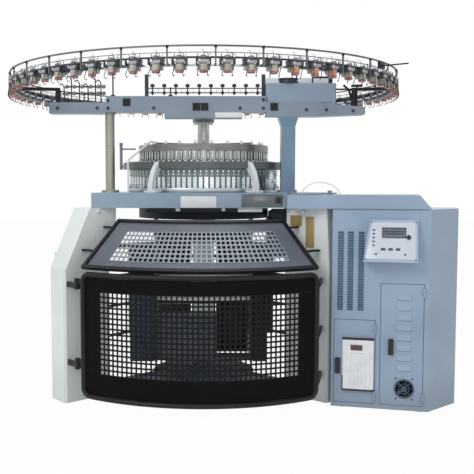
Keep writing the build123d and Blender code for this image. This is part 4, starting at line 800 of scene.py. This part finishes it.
def legPieces():
    slope = atan2(legs["headSetback"], legs["headRise"])  # the outer face leans in above the leg's knee
    for name, (angle, centre, size, material) in legPlates.items():
        lean = Matrix.Rotation(pi / 2 - slope if name == "leftTag" else 0, 4, "Y")
        bm = bmesh.new()
        block(bm, centre, size, 0.0008, lean)
        makePiece(name, bm, material, "frame", aboutAxis(angle))
    bm = bmesh.new()  # bolts that hold the legs to the bed
    distance, out, height = legs["bolt"]
    for leg in ("left", "right", "rear"):
        for side in (-1, 1):
            place = aboutAxis(legs[leg]) @ at(distance, side * out, height, Matrix.Rotation(-side * pi / 2, 4, "X"))
            lathe(bm, [(0.0, 0), (0.012, 0), (0.012, 0.007), (0.010, 0.009), (0.0, 0.009)], place, 6)
    makePiece("legBolts", bm, "ground", "frame")


bedPieces()
legPieces()
print("bed done")

# control cabinet, in its own frame: x along the front, y into it
cabinet = {"corner": (0.708, -0.806, 0), "turn": -13.6, "strips": (0.046, 0.099, 0.156), "stripLow": 0.560,
           "stripHigh": 0.980, "finPitch": 0.014, "fan": (0.394, 0.132), "fanScrewX": 0.043, "fanScrewZ": 0.056,
           "feet": ((0.06, 0.06), (0.48, 0.06), (0.60, 0.34), (0.24, 0.34))}
inverter = {"buttons": 4, "buttonFirst": 0.112, "buttonPitch": 0.017, "grooves": 5, "grooveFirst": 0.107,
            "groovePitch": 0.020}
inverterFittings = {
    "inverterDisplay": ("lensRed", "screen_glass", [((0.138, -0.0212, 0.350), (0.062, 0.003, 0.030), 0.001)]),
    "inverterTrims": ("blackPlastic", "handle_black", [((0.147, -0.0130, 0.3975), (0.172, 0.020, 0.010), 0.002),
                                                       ((0.147, -0.0130, 0.1145), (0.172, 0.020, 0.010), 0.002),
                                                       ((0.0625, -0.006, 0.150), (0.005, 0.010, 0.080), 0.001)]),
}
coverPipe = {"y": 0.06, "radius": 0.0035, "points": (
    (-0.175, 1.184), (-0.168, 1.215), (-0.140, 1.240), (-0.100, 1.254), (-0.050, 1.252), (-0.005, 1.238),
    (0.025, 1.212), (0.034, 1.184))}
coverLip = {"coverSeam": ("slate", "blue_enamel", [((0.255, -0.002, 1.1075), (0.515, 0.004, 0.003), 0.0)])}
cabinetPlace = Matrix.Translation(cabinet["corner"]) @ aboutAxis(cabinet["turn"])


def cabinetPieces():
    c = cabinet
    span = c["stripHigh"] - c["stripLow"]
    bm = bmesh.new()  # dark strips in the three vents, painted shade of the slots behind the fins, and fins across them
    for x in c["strips"]:
        block(bm, (x, -0.0023, (c["stripLow"] + c["stripHigh"]) / 2), (0.029, 0.0045, span + 0.012), 0.001)
    makePiece("ventStrips", bm, "ventBlue", "frame", cabinetPlace)
    bm = bmesh.new()
    for x in c["strips"]:
        block(bm, (x, -0.0058, c["stripLow"] + 0.004), (0.026, 0.0028, 0.005), 0.0006)
    rowPiece("ventFins", bm, round(span / c["finPitch"]), (0, 0, c["finPitch"]), "columnBlue",
             cabinetPlace)
    bm = bmesh.new()  # four screws of the fan's grille
    for dz in (c["fanScrewZ"], -c["fanScrewZ"]):
        for dx in (-c["fanScrewX"], c["fanScrewX"]):
            stud(bm, at(c["fan"][0] + dx, 0, c["fan"][1] + dz, toFront), 0.005, 0.002, 0.003, 0.004)
    makePiece("fanScrews", bm, "darkSteel", "right_cabinet_door", cabinetPlace)
    blockPieces(inverterFittings, "left_cabinet_door", cabinetPlace)
    bm = bmesh.new()  # buttons of the white drive unit and the grooves under them; the grooves' grey is painted shade
    for k in range(inverter["buttons"]):
        stud(bm, at(inverter["buttonFirst"] + inverter["buttonPitch"] * k, -0.0200, 0.318, toFront),
             0.0055, 0.002, 0.0024, 0.0045, 12)
    for k in range(inverter["grooves"]):
        block(bm, (inverter["grooveFirst"] + inverter["groovePitch"] * k, -0.0203, 0.206), (0.003, 0.0012, 0.130))
    makePiece("inverterButtons", bm, "unitGrey", "left_cabinet_door", cabinetPlace)
    bm = bmesh.new()  # thin pipe over the cover and its knob
    wire(bm, [(x, coverPipe["y"], z) for x, z in coverPipe["points"]], coverPipe["radius"], 8)
    makePiece("coverPipe", bm, "tubeWhite", "frame", cabinetPlace)
    bm = bmesh.new()
    lathe(bm, [(0.0, 0), (0.016, 0), (0.016, 0.004), (0.009, 0.006), (0.009, 0.013), (0.013, 0.016), (0.013, 0.022),
               (0.0, 0.026)], at(-0.02, 0.03, 1.185), 16)
    block(bm, (-0.140, 0.045, 1.1885), (0.150, 0.060, 0.007), 0.002)
    makePiece("coverKnob", bm, "greyPlastic", "frame", cabinetPlace)
    blockPieces(coverLip, "frame", cabinetPlace)
    bm = bmesh.new()  # levelling feet under the shell
    for x, y in c["feet"]:
        lathe(bm, [(0.0, 0), (0.025, 0), (0.025, 0.006), (0.010, 0.012), (0.0, 0.012)], at(x, y, 0), 14)
    makePiece("cabinetFeet", bm, "blackPlastic", "frame", cabinetPlace)


# console, on its sloping face: x to the right, y up the slope
console = {"middle": (0.310, -0.075, 0.9445), "slopeRun": 0.110, "slopeRise": 0.217,
           "plate": (0.256, 0.212, 0.0024), "taper": 0.030,
           "keys": (-0.038, 0, 0.038), "keyRow": -0.050, "keyHole": (0.0236, 0.0136, 0.02),
           "knob": (0.092, 0.018), "knobHole": 0.0045,
           "display": (0.017, 0.045), "displayHole": (0.1105, 0.0465, 0.02),
           "lamps": 5, "lampPitch": 0.022, "segments": 11, "segmentPitch": 0.009, "linePitch": 0.015,
           "screws": ((-0.101, 0.108), (0.130, 0.108), (-0.130, -0.108), (0.130, -0.108))}
faceTilt = pi / 2 - atan2(console["slopeRun"], console["slopeRise"])
facePlace = cabinetPlace @ at(*console["middle"], Matrix.Rotation(faceTilt, 4, "X"))


def consolePieces():
    c = console
    middleX, middleY = c["display"]
    bm = bmesh.new()  # pale face plate, narrower at its upper left, with the display's dark frame
    block(bm, (0, 0.000, c["plate"][2] / 2), c["plate"], 0.001)
    for vert in bm.verts:
        if vert.co.x < 0 and vert.co.y > 0:
            vert.co.x += c["taper"]
    plate = rawObject("consoleFace", bm)
    cut = bmesh.new()
    for x in c["keys"]:
        block(cut, (x, c["keyRow"], 0), c["keyHole"])
    lathe(cut, [(0.0, -0.01), (c["knobHole"], -0.01), (c["knobHole"], 0.01), (0.0, 0.01)], at(*c["knob"], 0), 16)
    block(cut, (middleX, middleY, 0), c["displayHole"])
    cutter = rawObject("consoleCut", cut)
    modifier = plate.modifiers.new("cut", "BOOLEAN")
    modifier.object = cutter
    modifier.solver = "EXACT"
    graph = bpy.context.evaluated_depsgraph_get()
    mesh = bpy.data.meshes.new_from_object(plate.evaluated_get(graph), depsgraph=graph)
    plate.modifiers.clear()
    plate.data = mesh
    bpy.data.objects.remove(cutter)
    settle(plate, "facePlate", "frame", facePlace)
    bm = bmesh.new()  # frame round the display, small lamps and key marks
    for side in (-1, 1):
        block(bm, (middleX, middleY + side * 0.027, 0.003), (0.122, 0.007, 0.004), 0.001)
    for side in (-1, 1):
        block(bm, (middleX + side * 0.059, middleY, 0.003), (0.007, 0.060, 0.004), 0.001)
    for k in range(c["lamps"]):
        block(bm, (-0.088, 0.060 - c["lampPitch"] * k, 0.0032), (0.012, 0.009, 0.0028), 0.0008)
    for x in (-0.075, 0.075):
        stud(bm, at(x, -0.078, 0.002), 0.006, 0.004, 0.006, 0.005, 12)
    makePiece("displayFrame", bm, "keyDark", "frame", facePlace)
    bm = bmesh.new()  # dark segments behind the display glass
    for line in range(2):
        for k in range(c["segments"]):
            block(bm, (middleX - 0.045 + c["segmentPitch"] * k, middleY + 0.008 - c["linePitch"] * line, 0.0022),
                  (0.006, 0.010, 0.0006))
    makePiece("displaySegments", bm, "blackPlastic", "frame", facePlace)
    bm = bmesh.new()
    for x, y in c["screws"]:
        stud(bm, at(x, y, 0), 0.0045, 0.0018, 0.0024, 0.0035)
    makePiece("consoleScrews", bm, "darkSteel", "frame", facePlace)


cabinetPieces()
consolePieces()
print("cabinet done")

# studio
lights = {"ambient": 0.60, "aim": (0.1, 0, 0.9)}
lamps = {"key": {"place": (-3.6, -5.4, 4.6), "watts": 135, "size": 3.0},
         "fill": {"place": (4.2, -4.6, 2.6), "watts": 8, "size": 3.0},
         "top": {"place": (0.0, 0.4, 5.2), "watts": 60, "size": 3.5},
         "front": {"place": (0.5, -6.4, 1.7), "watts": 14, "size": 1.6}}
floor = {"half": 20, "drop": 0.0005, "grey": 0.82, "whiteShare": 0.97}


def lookRays(tree):
    # 1 for rays from the camera, and for those that metal and glass send out
    path = addNode(tree, "ShaderNodeLightPath")
    first = addNode(tree, "ShaderNodeMath", {"operation": "MAXIMUM"},
                    {0: path.outputs["Is Camera Ray"], 1: path.outputs["Is Glossy Ray"]})
    both = addNode(tree, "ShaderNodeMath", {"operation": "MAXIMUM"},
                   {0: first.outputs[0], 1: path.outputs["Is Transmission Ray"]})
    return both.outputs[0]


def studio():
    world = bpy.data.worlds.new("paleStudio")
    scene.world = world
    world.use_nodes = True
    tree = world.node_tree
    tree.nodes.clear()
    lit = addNode(tree, "ShaderNodeBackground", {"Color": (1, 1, 1, 1), "Strength": lights["ambient"]})
    seen = addNode(tree, "ShaderNodeBackground", {"Color": (1, 1, 1, 1), "Strength": 1.0})
    mixed = addNode(tree, "ShaderNodeMixShader", None, {0: lookRays(tree), 1: lit.outputs[0], 2: seen.outputs[0]})
    addNode(tree, "ShaderNodeOutputWorld", None, {"Surface": mixed.outputs[0]})
    for name, values in lamps.items():
        lamp = bpy.data.lights.new(name + "Light", "AREA")
        lamp.shape = "DISK"
        lamp.size = values["size"]
        lamp.energy = values["watts"]
        made = bpy.data.objects.new(name + "Light", lamp)
        made.location = values["place"]
        toAim = Vector(lights["aim"]) - Vector(values["place"])
        made.rotation_euler = toAim.to_track_quat("-Z", "Y").to_euler()
        scene.collection.objects.link(made)
    bm = bmesh.new()
    half = floor["half"]
    corners = ((-half, -half), (half, -half), (half, half), (-half, half))
    bm.faces.new([bm.verts.new((x, y, -floor["drop"])) for x, y in corners])
    ground = rawObject("studioFloor", bm)
    material = bpy.data.materials.new("paleStudioFloor")
    material.use_nodes = True
    tree = material.node_tree
    tree.nodes.clear()
    dull = addNode(tree, "ShaderNodeBsdfDiffuse", {"Color": (floor["grey"],) * 3 + (1,)})
    glow = addNode(tree, "ShaderNodeEmission", {"Color": (1, 1, 1, 1), "Strength": 1.0})
    share = addNode(tree, "ShaderNodeMath", {"operation": "MULTIPLY", 1: floor["whiteShare"]}, {0: lookRays(tree)})
    mixed = addNode(tree, "ShaderNodeMixShader", None,
                    {0: share.outputs[0], 1: dull.outputs[0], 2: glow.outputs[0]})
    addNode(tree, "ShaderNodeOutputMaterial", None, {"Surface": mixed.outputs[0]})
    ground.data.materials.append(material)


studio()
scene.view_settings.view_transform = "Standard"
bpy.context.view_layer.update()
print("pieces done")
